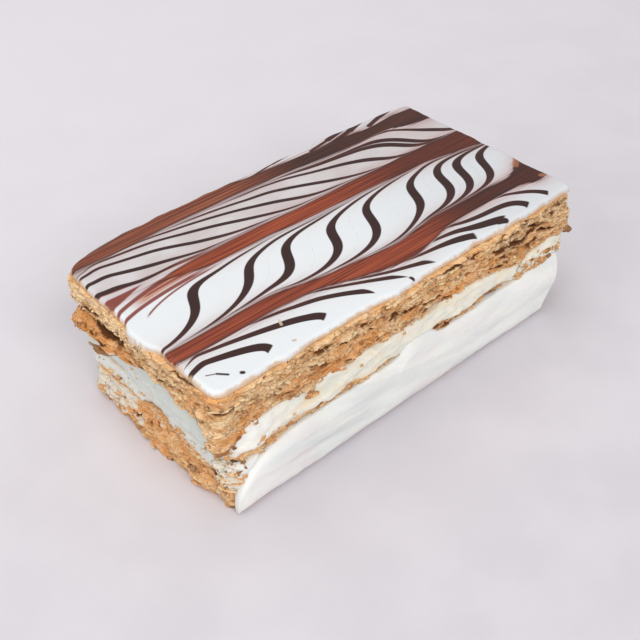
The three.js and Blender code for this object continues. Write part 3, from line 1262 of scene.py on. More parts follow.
@dataclass
class PastryLayer(Layer):
    """A sheet of puff pastry: a stack of thin plies whose edges broke off unevenly.

    Attributes:
        plies: Number of plies.
        crag: Height of the ragged relief in millimetres.
        hang: How far its lower edge wavers up and down.
    """

    plies: int = 6
    crag: float = 1.0
    hang: float = 0.5

    def bands(self) -> tuple[Array, Array, Array, Array]:
        """Sorts the side's points into plies.

        The joints between plies are wavy: the height within the sheet, plus a wave, is
        compared with joints at uneven distances.

        Returns:
            Number of the ply, share of its thickness, number of the nearest joint and
            distance to it, for each point in a row.
        """
        points = self.wall.points
        thick = float(np.ptp(self.wall.base[..., 2], axis=0).mean())
        random = np.random.default_rng(self.seed)
        joints = np.linspace(0, thick, self.plies + 1)
        joints[1:-1] += random.uniform(-0.3, 0.3, self.plies - 1) * thick / self.plies
        height = np.repeat(self.wall.shares, self.columns) * thick
        height = height + 0.9 * Noise(self.seed).layered(points, (11, 11, 6), 2)
        height = height + 0.2 * Noise(self.seed + 1).smooth(points, (2.2, 2.2, 2.0))
        ply = np.clip(np.searchsorted(joints, height) - 1, 0, self.plies - 1)
        below, above = height - joints[ply], joints[ply + 1] - height
        joint = np.where(below < above, ply, ply + 1)
        share = np.clip(below / (below + above), 0, 1)
        return ply, share, joint, np.abs(np.minimum(below, above))

    def relief(self) -> dict[str, Array]:
        """Works out the crumbly relief of the side.

        Each ply stands out by a ragged distance of its own, with broken blocks, and leans
        out over the ply below. Some joints gape as clefts. Long plates and small flat
        grains, each at a depth of its own, cover it all.

        Returns:
            Distance outwards as "out", and the marks "cleft" and "tip", for each point in
            a row. "cleft" darkens the gaping joints and the hollows between grains and plates,
            partly the crust's own brown and partly painted shade; "tip" is partly a painted
            highlight.
        """
        ragged_size, block_size, gape_size, bulge_size = 6.0, 3.4, 7.0, (15, 15, 9)
        plate_size, grain_size, grit_size = (7.5, 7.5, 1.9), (2.5, 2.5, 0.75), (0.9, 0.9, 0.42)
        plies_apart, joints_apart, cleft_depth = 41.0, 57.0, 1.7
        points = self.wall.points
        ply, share, joint, distance = self.bands()
        own = points.copy()
        own[:, 2] = ply * plies_apart
        ragged = Noise(self.seed + 2).layered(own, ragged_size, 3)
        _, block = Noise(self.seed + 3).grains(own, block_size)
        at_joint = points.copy()
        at_joint[:, 2] = joint * joints_apart
        gape = np.clip(Noise(self.seed + 4).layered(at_joint, gape_size, 2) * 2.2 - 0.5, 0, 1)
        cleft = gape * np.exp(-((distance / (0.12 + 0.16 * gape)) ** 2))
        plate, hue = Noise(self.seed + 10).grains(points, plate_size)
        grain, tint = Noise(self.seed + 5).grains(points, grain_size)
        grit, speck = Noise(self.seed + 6).grains(points, grit_size)
        bulge = Noise(self.seed + 7).smooth(points, bulge_size)
        out = self.crag * (0.5 * ragged + 0.5 * (block - 0.5) + 0.3 * bulge)
        out = out + 0.75 * (share - 0.5) * (0.6 + 0.4 * ragged)
        out = out + 0.8 * (hue - 0.5) + 0.3 * plate
        out = out + 0.35 * grain + 0.5 * (tint - 0.5) + 0.2 * grit + 0.25 * (speck - 0.5)
        out = out - cleft_depth * cleft
        # Painted shade in the hollows between grains and plates, with a few random dark grains.
        hollow_shade = 0.45 * (1 - grain) ** 4 + 0.3 * (speck < 0.06) + 0.25 * (tint < 0.12)
        hollow_shade = hollow_shade + 0.55 * (1 - plate) ** 6
        # Painted highlight on the parts that stand out, mixed with random tints of the grains.
        pale_and_highlight = 0.2 * grain + 0.35 * tint + 0.3 * speck + 0.35 * ragged + 0.3 * hue
        dark = np.clip(1.6 * cleft + 0.6 * hollow_shade, 0, 1)
        return {"out": out, "cleft": dark, "pale_and_highlight": np.clip(pale_and_highlight, 0, 1)}

    def shaped(self, out: Array) -> Array:
        """Distance outwards, changed by shapes that only one sheet has; none here."""
        return out

    def dark(self) -> Array:
        """Mark from 0 to 1 for deep gaps besides the clefts, painted dark as shade; none here."""
        return np.zeros(self.wall.base.shape[:2])

    def pale(self) -> Array:
        """Change of the mark "tip", which makes the crust paler; none here."""
        return np.zeros(self.wall.base.shape[:2])

    def bake(self) -> Array:
        """Mark from 0 to 1, for each point in a row, that says how orange the crust is."""
        patch = Noise(self.seed + 8).layered(self.wall.points, (9, 9, 4), 2)
        return np.clip(0.55 + 0.6 * patch, 0, 1)

    def creamy(self) -> Array:
        """Mark from 0 to 1 that says how much cream sticks to the crust; none here."""
        return np.zeros(self.wall.base[..., 0].size)

    def surface(self) -> Surface:
        """Builds the sheet's surface.

        Returns:
            The surface with its marks.
        """
        grid = (self.rows, self.columns)
        relief = self.relief()
        out = self.shaped(relief["out"].reshape(grid))
        edge = self.wall.base[0].copy()
        edge[:, 2] = 0
        ragged = self.hang * Noise(self.seed + 9).layered(edge, (7, 7, 7), 3)
        fade = (1 - ease(self.wall.shares, 0.0, 0.45))[:, None]
        lift = ragged * fade if self.floor is not Face.TABLE else 0.0
        surface = self.closed(self.wall.moved(out, lift))
        # These marks carry painted shade in the clefts and gaps, and a painted highlight on the
        # tips.
        gaps = np.maximum(relief["cleft"], self.dark().ravel())
        surface.marks = {
            "cleft": self.spread(gaps, surface),
            "pale_and_highlight": self.spread(np.clip(relief["pale_and_highlight"] + self.pale().ravel(), 0, 1), surface),
            "bake": self.spread(self.bake(), surface),
            "cream": self.spread(self.creamy(), surface),
        }
        return self.fitted(surface)


@dataclass(frozen=True)
class Crack:
    """A long dark crack in the front of a sheet, shaped like a lens.

    Attributes:
        x: Its middle along the slice, in millimetres.
        z: Height of its middle.
        length: Half of its length.
        gape: Half of its height.
        slope: How much it climbs for each millimetre to the right.
        arch: How far its middle bows upwards.
    """

    x: float
    z: float
    length: float
    gape: float
    slope: float = 0.0
    arch: float = 0.0

    def mask(self, x: Array, z: Array, waver: Array) -> Array:
        """1 in the crack: the height above its bent axis, over a gape that tapers to the ends.

        Args:
            x: Places along the slice.
            z: Heights.
            waver: Small random heights that roughen it.

        Returns:
            Shares from 0 to 1.
        """
        part = (x - self.x) / self.length
        axis = self.z + self.slope * (x - self.x) + self.arch * (1 - part**2) + waver
        gape = 0.95 * self.gape * np.sqrt(np.clip(1 - part**2, 0.0001, 1))
        return np.exp(-(((z - axis) / gape) ** 4)) * (np.abs(part) < 1)


@dataclass
class TopPastry(PastryLayer):
    """The thick sheet under the icing, with a gaping cleft at the back of its left end.

    Attributes:
        cracks: Long cracks in its front.
        holes: Holes in its left end: y, z and half of their width and height.
        scorches: Orange bulges in its front: x, z and half of their width and height.
        corner_drop: How far it hangs down in a point at the front left corner.
    """

    cracks: tuple[Crack, ...] = (
        Crack(-33.0, 33.3, 3.6, 0.5, 0.05, 0.9),
        Crack(-20.0, 31.3, 8.0, 0.4, -0.16),
        Crack(-1.0, 29.0, 2.8, 0.4),
        Crack(11.5, 31.0, 3.0, 0.3, -0.2),
        Crack(16.5, 33.0, 3.5, 0.35, -0.1),
        Crack(29.0, 27.5, 4.2, 0.4, -0.12),
        Crack(33.5, 33.2, 3.4, 0.45, -0.1, 0.3),
        Crack(43.0, 31.2, 5.0, 0.5, -0.28),
        Crack(47.0, 28.8, 4.0, 0.35, -0.2),
        Crack(-44.5, 30.4, 3.0, 0.25, 0.1),
        Crack(-41.0, 27.6, 3.0, 0.3, -0.1),
    )
    holes: tuple[tuple[float, float, float, float], ...] = (
        (-0.2, 27.6, 2.4, 0.8), (-9.5, 28.6, 2.6, 0.7),
        (-16.5, 30.6, 2.0, 0.5), (-5.5, 31.8, 1.6, 0.4),
    )
    scorches: tuple[tuple[float, float, float, float], ...] = (
        (-15.0, 27.4, 6.5, 1.7), (-27.8, 28.2, 6.0, 1.6), (-1.5, 28.2, 3.0, 1.2),
        (-38.5, 27.6, 4.0, 1.2), (12.0, 27.6, 4.5, 1.3), (26.0, 29.4, 4.0, 1.1),
        (-10.5, 30.3, 3.5, 0.9), (-53.0, 24.5, 3.0, 2.2),
    )
    corner_drop: float = 5.4

    def low(self, x: Array, y: Array) -> Array:
        """Height of its lower face, which runs down to a point at the front left corner."""
        return super().low(x, y) - self.corner_drop * self.slice_.corner(x, y)

    def scorched(self) -> Array:
        """Mask of the orange bulges in the front, each a soft ellipse.

        Returns:
            Shares from 0 to 1, shape (rows, columns).
        """
        x, y, z = self.wall.axes
        mask = np.zeros(x.shape)
        for place, level, wide, high in self.scorches:
            away = ((x - place) / wide) ** 2 + ((z - level) / high) ** 2
            mask = np.maximum(mask, np.exp(-(away**2)))
        return mask * ease(-y, 20.0, 26.0)

    def gap(self) -> Array:
        """Mask of the gap at the back of the left end, and of the smaller holes beside it.

        Returns:
            Shares from 0 to 1, shape (rows, columns).
        """
        height, half, back_drop, seed, hole_depth = 29.3, 1.25, 0.9, 3, 0.6
        x, y, z = self.wall.axes
        waver = 0.6 * Noise(seed).layered(self.wall.points, 5.0, 2).reshape(x.shape)
        middle = height - back_drop * ease(y, 18.0, 25.0)
        mask = np.exp(-(((z - middle + waver) / half) ** 4)) * ease(y, 2.0, 9.0)
        for place, level, wide, high in self.holes:
            away = ((y - place) / wide) ** 2 + ((z - level + 0.7 * waver) / high) ** 2
            mask = np.maximum(mask, hole_depth * np.exp(-(away**2)))
        return mask * self.slice_.left_end(x)

    def split(self) -> Array:
        """Mask of the long cracks in the front.

        Returns:
            Shares from 0 to 1, shape (rows, columns).
        """
        seed = 4
        x, y, z = self.wall.axes
        waver = 0.35 * Noise(seed).layered(self.wall.points, 2.2, 2).reshape(x.shape)
        masks = np.stack([crack.mask(x, z, waver) for crack in self.cracks])
        return masks.max(0) * ease(-y, 20.0, 26.0)

    def shaped(self, out: Array) -> Array:
        """Opens the gap and the cracks, lets the plies under the gap stand out as a ledge,
        smooths the rim over it, swells at the scorches and at the front corners.

        Args:
            out: Distance outwards, shape (rows, columns).

        Returns:
            The changed distance.
        """
        gap_depth, ledge_reach, ledge_slant, crack_depth = 4.5, 1.0, 3.4, 2.6
        point_reach, scorch_swell = 1.5, 0.5
        x, y, z = self.wall.axes
        left = self.slice_.left_end(x)
        ledge = ease(29.0 - z, 0.0, 1.2) * ease(y, 5.0, 14.0)
        slant = ease(z, 22.5, 28.5) * ease(y, 12.0, 22.0)
        rim = ease(z, 30.3, 31.5) * ease(y, -4.0, 6.0) * left
        lower = (1 - ease(z, 25.0, 28.5)) * ease(-y, -8.0, 4.0)
        corner = ease(x, 48.0, 55.0) * ease(-y, 16.0, 26.0)
        out = out * (1 - 0.5 * rim - 0.3 * corner) + 0.2 * rim
        out = out + corner * (0.9 - 1.4 * ease(z, 28.0, 33.0))
        out = out + point_reach * self.slice_.corner(x, y) * (1 - ease(z, 25.0, 30.0))
        scorched = self.scorched()
        out = out * (1 - 0.4 * scorched) + scorch_swell * scorched
        reach = (ledge_reach - ledge_slant * slant) * ledge
        out = out + left * (reach - 0.9 * lower) - gap_depth * self.gap()
        return out - crack_depth * self.split()

    def dark(self) -> Array:
        """Marks painted shade in the gap and the cracks, over their own brown, and a painted
        shadow along the lower edge at the front left corner.

        Returns:
            Mark from 0 to 1, shape (rows, columns).
        """
        x, y, _ = self.wall.axes
        # Painted shadow along the lower edge at the front left corner.
        edge = (1 - ease(self.wall.shares, 0.05, 0.16))[:, None] * ease(-y, 27.0, 28.3)
        edge = 0.5 * edge * ease(-x, 48.5, 51.0)
        dark = np.maximum(3.5 * self.gap(), 2.5 * self.split())
        return np.clip(np.maximum(dark, edge), 0, 1)

    def pale(self) -> Array:
        """Makes the rim over the gap paler, the ledge under it darker with painted shade, and the
        scorches darker.

        Returns:
            Change of the mark "tip", shape (rows, columns).
        """
        x, y, z = self.wall.axes
        rim = ease(z, 30.6, 31.6) * ease(y, -6.0, 2.0)
        # Painted shade on the ledge under the gap.
        ledge = (1 - ease(z, 28.0, 29.5)) * ease(y, -2.0, 8.0)
        left = self.slice_.left_end(x) * (0.35 * rim - 0.8 * ledge)
        return left - 0.35 * self.scorched()

    def bake(self) -> Array:
        """Oranger towards the lower edge, at the scorches and below the gap.

        Returns:
            The mark for each point in a row.
        """
        patch = Noise(self.seed + 8).layered(self.wall.points, (8, 8, 2.5), 3)
        low = (1 - ease(self.wall.shares, 0.1, 0.62))[:, None]
        x, y, _ = self.wall.axes
        left = self.slice_.left_end(x) * ease(y, 0.0, 12.0) * low
        base = 0.1 + 0.55 * low + 0.6 * left + 0.7 * self.scorched()
        return np.clip(base.ravel() + 0.75 * patch, 0, 1)

    def creamy(self) -> Array:
        """Cream is smeared over parts of its lower edge."""
        low = (1 - ease(self.wall.shares, 0.0, 0.16))[:, None]
        return (0.3 * low * np.ones(self.columns)).ravel()


@dataclass
class MiddlePastry(PastryLayer):
    """The thin sheet between the creams, which shows as a broken line."""

    def shaped(self, out: Array) -> Array:
        """Draws back behind the creams at the left end and at the right of the front.

        Args:
            out: Distance outwards, shape (rows, columns).

        Returns:
            The changed distance.
        """
        recess = 2.2
        x, y, _ = self.wall.axes
        left = self.slice_.left_end(x) * (1 - ease(y, 18.0, 21.0))
        hidden = np.maximum(left, ease(x, 36.0, 42.0) * ease(-y, 20.0, 26.0))
        return out - recess * hidden

    def dark(self) -> Array:
        """Marks a browner crust in patches, darkest at the back of the left end.

        Returns:
            Mark from 0 to 1, shape (rows, columns).
        """
        x, y, _ = self.wall.axes
        patch = Noise(self.seed + 12).layered(self.wall.points, (5, 5, 3), 2)
        back_left = self.slice_.left_end(x) * ease(y, 16.0, 20.0)
        return np.clip(0.3 + 0.3 * patch.reshape(x.shape) + 0.5 * back_left, 0, 1)


@dataclass
class BottomPastry(PastryLayer):
    """The sheet that the slice stands on, mashed upwards into the cream at its left end."""

    def high(self, x: Array, y: Array) -> Array:
        """Height of its upper face, raised at the left end, less so towards the back."""
        raised = 4.2 - 3.5 * ease(y, -3.0, 8.0)
        return super().high(x, y) + self.slice_.left_end(x) * raised

    def shaped(self, out: Array) -> Array:
        """Stands out in front at the left, where the smear thins out, and slopes back
        towards the cream and towards the front corner at the left end.

        Args:
            out: Distance outwards, shape (rows, columns).

        Returns:
            The changed distance.
        """
        x, y, z = self.wall.axes
        front_reach, top_slope, corner_slope = 1.7, 1.9, 2.8
        low = 1 - 0.6 * ease(z, 3.0, 9.0)
        slope = top_slope * ease(z, 3.0, 13.0) + corner_slope * ease(-y, 14.0, 29.0) * low
        out = out + front_reach * ease(-x, 40.0, 50.0) * ease(-y, 24.0, 27.0)
        return out - slope * self.slice_.left_end(x)

    def bake(self) -> Array:
        """Oranger at the left end."""
        x = self.wall.base[..., 0]
        return np.clip(super().bake() + 0.3 * self.slice_.left_end(x).ravel(), 0, 1)

    def creamy(self) -> Array:
        """Cream sticks to the back half of the left end, and to the front left corner.

        Returns:
            The mark for each point in a row.
        """
        back_share, corner_share, top_share, blotch_size = 0.62, 0.34, 0.22, (4.5, 4.5, 3.0)
        x, y, _ = self.wall.axes
        high = ease(self.wall.shares, 0.1, 0.9)[:, None]
        share = back_share * ease(y, 0.0, 12.0) + corner_share * ease(-y, 20.0, 27.0)
        blotch = Noise(self.seed + 13).layered(self.wall.points, blotch_size, 2)
        left = self.slice_.left_end(x) * share * (0.5 + 0.5 * high)
        left = left * (1 + 1.1 * blotch.reshape(x.shape))
        return np.clip(left + top_share * high, 0, 1).ravel()


@dataclass
class CreamLayer(Layer):
    """A layer of cream whose side swells softly between two sheets of pastry.

    Attributes:
        swell: How far the side bulges at mid height, in millimetres.
        lumps: Height of its lumps.
    """

    swell: float = 0.7
    lumps: float = 0.5

    def shaped(self, out: Array) -> Array:
        """Distance outwards, changed by shapes that only one layer has; none here."""
        return out

    def surface(self) -> Surface:
        """Builds the layer: a side that bulges by 1 - (2s - 1)^4 at a share s of its
        height, with lumps and pits.

        Returns:
            The surface with its mark "crumb".
        """
        pit_depth, pitted, crumbed = 0.35, 0.88, 0.965
        points = self.wall.points
        bulge = self.swell * (1 - (2 * self.wall.shares - 1) ** 4)
        slow = Noise(self.seed).layered(points, (10, 10, 4.5), 3)
        dome, _ = Noise(self.seed + 1).grains(points, (3.6, 3.6, 2.2))
        pits, own = Noise(self.seed + 2).grains(points, (1.6, 1.6, 1.3))
        fold = 1 - 2 * np.abs(Noise(self.seed + 4).smooth(points, (9, 9, 3.6)))
        out = self.lumps * (slow + 0.8 * (dome - 0.4) + 0.5 * fold)
        out = out - pit_depth * (own > pitted) * pits
        out = out.reshape(self.rows, self.columns) + bulge[:, None]
        surface = self.closed(self.wall.moved(self.shaped(out)))
        near = Noise(self.seed + 3).grains(points, (1.5, 1.5, 0.9))
        stain = 0.45 + 0.8 * Noise(self.seed + 5).layered(points, (5, 5, 2.5), 3)
        upper = np.repeat(ease(self.wall.shares, 0.72, 1.0), self.columns)
        stain = 0.55 * np.clip(stain, 0, 1) * upper
        crumb = np.maximum(near[0] * (near[1] > crumbed), stain)
        surface.marks = {"crumb": self.spread(crumb, surface)}
        return self.fitted(surface)


@dataclass
class UpperCream(CreamLayer):
    """The upper cream, which droops over the edge of the middle sheet."""

    def low(self, x: Array, y: Array) -> Array:
        """Height of its lower face: lowered by a wavering droop, and by more at the left
        end and at the right of the front.

        Args:
            x: Places along the slice.
            y: Places across it.

        Returns:
            Heights in millimetres.
        """
        edge = np.stack([x.ravel(), y.ravel(), np.zeros(x.size)], -1)
        waver = Noise(self.seed + 12).layered(edge, 8.0, 3).reshape(x.shape)
        front = ease(-y, 20.0, 26.0)
        droop = 0.5 + 0.9 * waver + 2.0 * ease(x, 32.0, 40.0) * front
        near = self.slice_.left_end(x) * (1 - ease(y, 6.0, 14.0))
        return super().low(x, y) - np.clip(droop, 0.1, 9.0) - 2.6 * near

    def shaped(self, out: Array) -> Array:
        """Comes forward to the smear at the right of the front and in a lump at its left,
        and makes room for the top pastry's point at the corner.

        Args:
            out: Distance outwards, shape (rows, columns).

        Returns:
            The changed distance.
        """
        right_reach, lump_height, lump_at, lump_half, corner_recess = 0.5, 0.7, -47.0, 4.5, 1.5
        x, y, _ = self.wall.axes
        lump = lump_height * np.exp(-(np.abs((x - lump_at) / lump_half) ** 3))
        out = out + ease(-y, 20.0, 26.0) * (right_reach * ease(x, 30.0, 43.0) + lump)
        return out - corner_recess * self.slice_.corner(x, y)


@dataclass
class LowerCream(CreamLayer):
    """The lower cream, with the part that a knife smeared down over the front.

    Attributes:
        smear_left: X of the smear's left end.
        smear_right: X of its right end.
        foot: Height of its lower edge.
        left_sweep: Length of its rounded left end.
        right_sweep: Length of its rounded right end.
        depth: How far it reaches in behind the front.
        thin_end: The same at its left end.
        bulge: How far it stands proud of the front.
    """

    smear_left: float = -54.3
    smear_right: float = 54.6
    foot: float = 0.3
    left_sweep: float = 13.0
    right_sweep: float = 0.7
    depth: float = 4.0
    thin_end: float = 0.7
    bulge: float = 1.0

    def head(self, x: Array) -> Array:
        """Height of the smear's upper edge: the cream's own top, with a hump in front of
        the middle pastry.

        Args:
            x: Places along the slice.

        Returns:
            Heights in millimetres.
        """
        hump_at, hump_half, hump_height = 2.4, 5.8, 3.4
        front = np.full(x.shape, -self.slice_.width / 2)
        edge = np.stack([x, np.zeros(x.shape), np.zeros(x.shape)], -1)
        waver = 0.5 * Noise(self.seed + 22).layered(edge, 9.0, 3)
        top = self.slice_.height(Face.LOWER_CREAM, x, front) + 0.1
        top = top + 0.3 * ease(-x, 0.0, 12.0) + waver
        return top + hump_height * np.exp(-(np.abs((x - hump_at) / hump_half) ** 3))

    def smear(self) -> Surface:
        """Sections across the slice, carried along it: up the swollen face, over the rounded
        top, down behind and back under the foot. Their height follows a quarter ellipse at
        each end, and the right end leans out towards its top.

        Returns:
            The smear's surface.
        """
        columns, face_rows = 360, 60
        turn = np.linspace(0, math.pi, columns)
        place = 0.65 * (0.5 - 0.5 * np.cos(turn)) + 0.35 * np.linspace(0, 1, columns)
        x = self.smear_left + (self.smear_right - self.smear_left) * place
        from_left = np.clip((x - self.smear_left) / self.left_sweep, 0, 1)
        from_right = np.clip((self.smear_right - x) / self.right_sweep, 0, 1)
        rise = np.minimum(np.sqrt(1 - (1 - from_left) ** 2), np.sqrt(1 - (1 - from_right) ** 2))
        lowest = self.foot + 0.8
        head = lowest + (self.head(x) - lowest) * rise
        share = np.linspace(0, 1, face_rows)[:, None]
        line = np.stack([x, np.zeros(columns), np.zeros(columns)], -1)
        foot = self.foot + 0.25 * (1 + Noise(self.seed + 23).layered(line, 5.0, 3))
        height = foot + (head - foot) * share
        at = np.stack([np.broadcast_to(x, height.shape), np.zeros(height.shape), height], -1)
        at = at.reshape(-1, 3)
        knife = 0.42 * Noise(self.seed + 20).smooth(at, (38, 9, 5.2))
        lumps = 0.2 * Noise(self.seed + 21).layered(at, (11, 9, 5), 3)
        relief = (knife + lumps).reshape(height.shape)
        lobe = 0.8 * np.exp(-(((x + 1.0) / 4.5) ** 2) - ((height - 13.6) / 3.2) ** 2)
        lobe = lobe * ease(x, -6.5, -4.0)
        swell = (1 - np.abs(2 * share - 1) ** 6) * (0.35 + 0.65 * rise)
        lip = 0.3 * np.exp(-(((x - self.smear_left - 2.5) / 2.4) ** 2)) * np.ones_like(share)
        edge = ease(share, 0.0, 0.05) * ease(1 - share, 0.0, 0.08)
        front = -self.slice_.width / 2
        y = front - self.bulge * swell
        y = y - (relief + lip + lobe) * (0.25 + 0.75 * edge) * (0.4 + 0.6 * rise)
        lean = 5.0 * (1 - ease(height, -1.0, 11.0)) * ease(x, 44.0, self.smear_right)
        face = np.stack([x - lean, y, height], -1)
        thick = self.thin_end + (self.depth - self.thin_end) * np.sqrt(from_left)
        back = []
        fillet = np.maximum(ease(x, 34.0, 44.0), np.exp(-(((x - 1.0) / 5.0) ** 4)))
        for reach, drop, climb in ((0.12, 0.0, 0.35), (0.4, -0.05, 1.1), (1.0, -0.6, 1.8)):
            ring = face[-1].copy()
            ring[:, 1] = face[-1, :, 1] + reach * thick
            ring[:, 2] = head + (drop + (climb - drop) * fillet) * rise
            back.append(ring)
        under = back[-1].copy()
        under[:, 0] = face[0, :, 0]
        under[:, 2] = foot
        rings = np.concatenate([face[::-1], under[None], np.stack(back[::-1])])
        surface = Surface.through(np.swapaxes(rings, 0, 1))
        surface.marks = {"crumb": np.zeros(len(surface.points))}
        return self.fitted(surface)


@dataclass
class Icing(Layer):
    """The sheet of fondant, whose rim runs out thin over the pastry and drips a little.

    Attributes:
        rim_width: Width of its rounded rim in millimetres.
    """

    rim_width: float = 1.2

    def outline(self) -> Outline:
        """Its own outline, which stays clear of the left end's crust."""
        return Outline((-56.4, -29.1), (57.3, 31.5), (1.6, 1.4, 3.0, 3.4), (3.9, 1.9))

    def surface(self) -> Surface:
        """Builds the sheet: the rim's section is a quarter of a flat ellipse. Drips lower
        its outer edge, and a lobe reaches out and down at the left end.

        Returns:
            The surface with its mark "rim".
        """
        points, normals = self.outline().trace(self.columns)
        edge = np.concatenate([points, np.zeros((len(points), 1))], -1)
        drip_at, drip_half, drip_height = -3.0, 4.5, 1.3
        lobe_at, lobe_half, lobe_height = -3.5, 5.5, 1.9
        x, y = points.T
        waver = 0.5 * Noise(self.seed).layered(edge, 7.0, 3)
        drip = np.clip(Noise(self.seed + 1).layered(edge, (6, 6, 6), 2) - 0.3, 0, 1) * 1.2
        drip += drip_height * np.exp(-(((x - drip_at) / drip_half) ** 2)) * (y < 0)
        waver += 0.6 * np.clip(drip, 0, 1)
        lobe = lobe_height * np.exp(-(np.abs((y - lobe_at) / lobe_half) ** 3)) * (x < -50)
        drip += lobe
        waver += lobe
        floor = self.slice_.height(Face.TOP_PASTRY, *points.T) - 0.3
        turns = np.linspace(0, math.pi / 2, 12)
        rings = []
        for turn in turns:
            inwards = self.rim_width * (1 - math.cos(turn))
            plan = points + normals * (waver - inwards)[:, None]
            roof = self.slice_.height(Face.ICING, *plan.T)
            low = floor + 0.35 - drip * math.cos(turn) ** 3
            height = low + (roof - low) * math.sin(turn) ** 0.8
            rings.append(np.concatenate([plan, height[:, None]], -1))
        under = rings[0].copy()
        under[:, :2] *= 0.985
        under[:, 2] = floor - drip * 0.7
        inner = under.copy()
        inner[:, :2] *= 0.7
        inner[:, 2] = floor
        middle = []
        for scale in (0.985, 0.96, 0.92, 0.86, 0.78, 0.66, 0.5, 0.3, 0.12):
            plan = rings[-1][:, :2] * scale
            roof = self.slice_.height(Face.ICING, *plan.T)
            middle.append(np.concatenate([plan, roof[:, None]], -1))
        surface = Surface.through(np.stack([inner, under, *rings, *middle]))
        rim = np.zeros((2 + len(rings) + len(middle), self.columns))
        rim[:2] = 1
        rim[2:2 + len(rings)] = (1 - turns / turns[-1])[:, None]
        surface.marks = {"rim": np.concatenate([rim.ravel(), [1.0, 0.0]])}
        return self.fitted(surface)


# ---- loose bits


@dataclass
class Flakes:
    """Thin curled shards of pastry that stick out of the sides.

    Attributes:
        count: Number of shards.
        seed: Number of their random draw.
    """

    count: int
    seed: int

    def grow(self, surface: Surface, layer: Layer) -> Surface:
        """Sets shards on a pastry's side.

        A shard is a grid of 6 by 4 points, bent along both directions, with a copy
        underneath and a rim between. Its edges waver at random.

        Args:
            surface: The pastry's surface.
            layer: The pastry.

        Returns:
            The shards' surface, with the pastry's marks.
        """
        random = np.random.default_rng(self.seed)
        rows, columns = layer.rows, layer.columns
        side = slice(layer.start, layer.start + rows * columns)
        wall = surface.points[side].reshape(rows, columns, 3)
        gaps = surface.marks["cleft"][side].reshape(rows, columns)
        row = random.integers(1, rows - 1, 8 * self.count)
        column = random.integers(0, columns, 8 * self.count)
        clear = gaps[row, column] < 0.45
        row, column = row[clear][:self.count], column[clear][:self.count]
        spot = wall[row, column]
        tangent = wall[row, (column + 9) % columns] - wall[row, column - 9]
        tangent[:, 2] = 0
        tangent /= np.linalg.norm(tangent, axis=1, keepdims=True)
        out = np.stack([tangent[:, 1], -tangent[:, 0], np.zeros(self.count)], -1)
        up = np.array([0.0, 0.0, 1.0])
        yaw = random.normal(0.05, 0.2, self.count)[:, None]
        first = tangent * np.cos(yaw) + up * np.sin(yaw)
        pitch = random.normal(0.5, 0.5, self.count)[:, None]
        second = out * np.cos(pitch) - up * np.sin(pitch)
        third = np.cross(first, second)
        long = random.lognormal(-0.3, 0.45, self.count).clip(0.3, 1.9)
        wide = random.uniform(0.2, 0.5, self.count)
        thick = random.uniform(0.05, 0.12, self.count)
        u, v = np.meshgrid(np.linspace(-1, 1, 6), np.linspace(-1, 1, 4), indexing="ij")
        plan = np.stack([u * np.sqrt(1 - 0.35 * v**2), v * np.sqrt(1 - 0.45 * u**2)], -1)
        plan = plan + random.normal(0, 0.12, (self.count, 6, 4, 2))
        bend = random.normal(0, 0.22, (self.count, 3, 1, 1))
        dome = bend[:, 0] * u**2 + bend[:, 1] * v**2 + bend[:, 2] * u * v
        middle = (
            spot[:, None, None] + out[:, None, None] * 0.15
            + first[:, None, None] * (plan[..., :1] * long[:, None, None, None])
            + second[:, None, None] * (plan[..., 1:] * wide[:, None, None, None])
            + third[:, None, None] * (dome * wide[:, None, None])[..., None]
        )
        taper = (1 - 0.8 * np.maximum(np.abs(u), np.abs(v)) ** 4)[..., None]
        half = third[:, None, None] * thick[:, None, None, None] * taper
        points = np.stack([middle + half, middle - half], 1)
        index = np.arange(24).reshape(6, 4)
        quads = [index[:-1, :-1], index[1:, :-1], index[1:, 1:], index[:-1, 1:]]
        quads = np.stack(quads, -1).reshape(-1, 4)
        loop = [index[0], index[1:, -1], index[-1, -2::-1], index[-2:0:-1, 0]]
        loop = np.concatenate(loop)
        after = np.roll(loop, -1)
        rim = np.stack([loop, after, after + 24, loop + 24], -1)
        one = np.concatenate([quads, quads[:, ::-1] + 24, rim])
        faces = one[None] + 48 * np.arange(self.count)[:, None, None]
        number = layer.start + row * columns + column
        marks = {name: np.repeat(values[number], 48) for name, values in surface.marks.items()}
        marks["cleft"] = np.repeat(np.where(random.random(self.count) < 0.05, 0.5, 0.0), 48)
        tint = np.repeat(random.uniform(-0.2, 0.45, self.count), 48)
        marks["pale_and_highlight"] = np.clip(marks["pale_and_highlight"] + tint, 0, 1)
        return Surface(points.reshape(-1, 3), [faces.reshape(-1, 4)], marks)


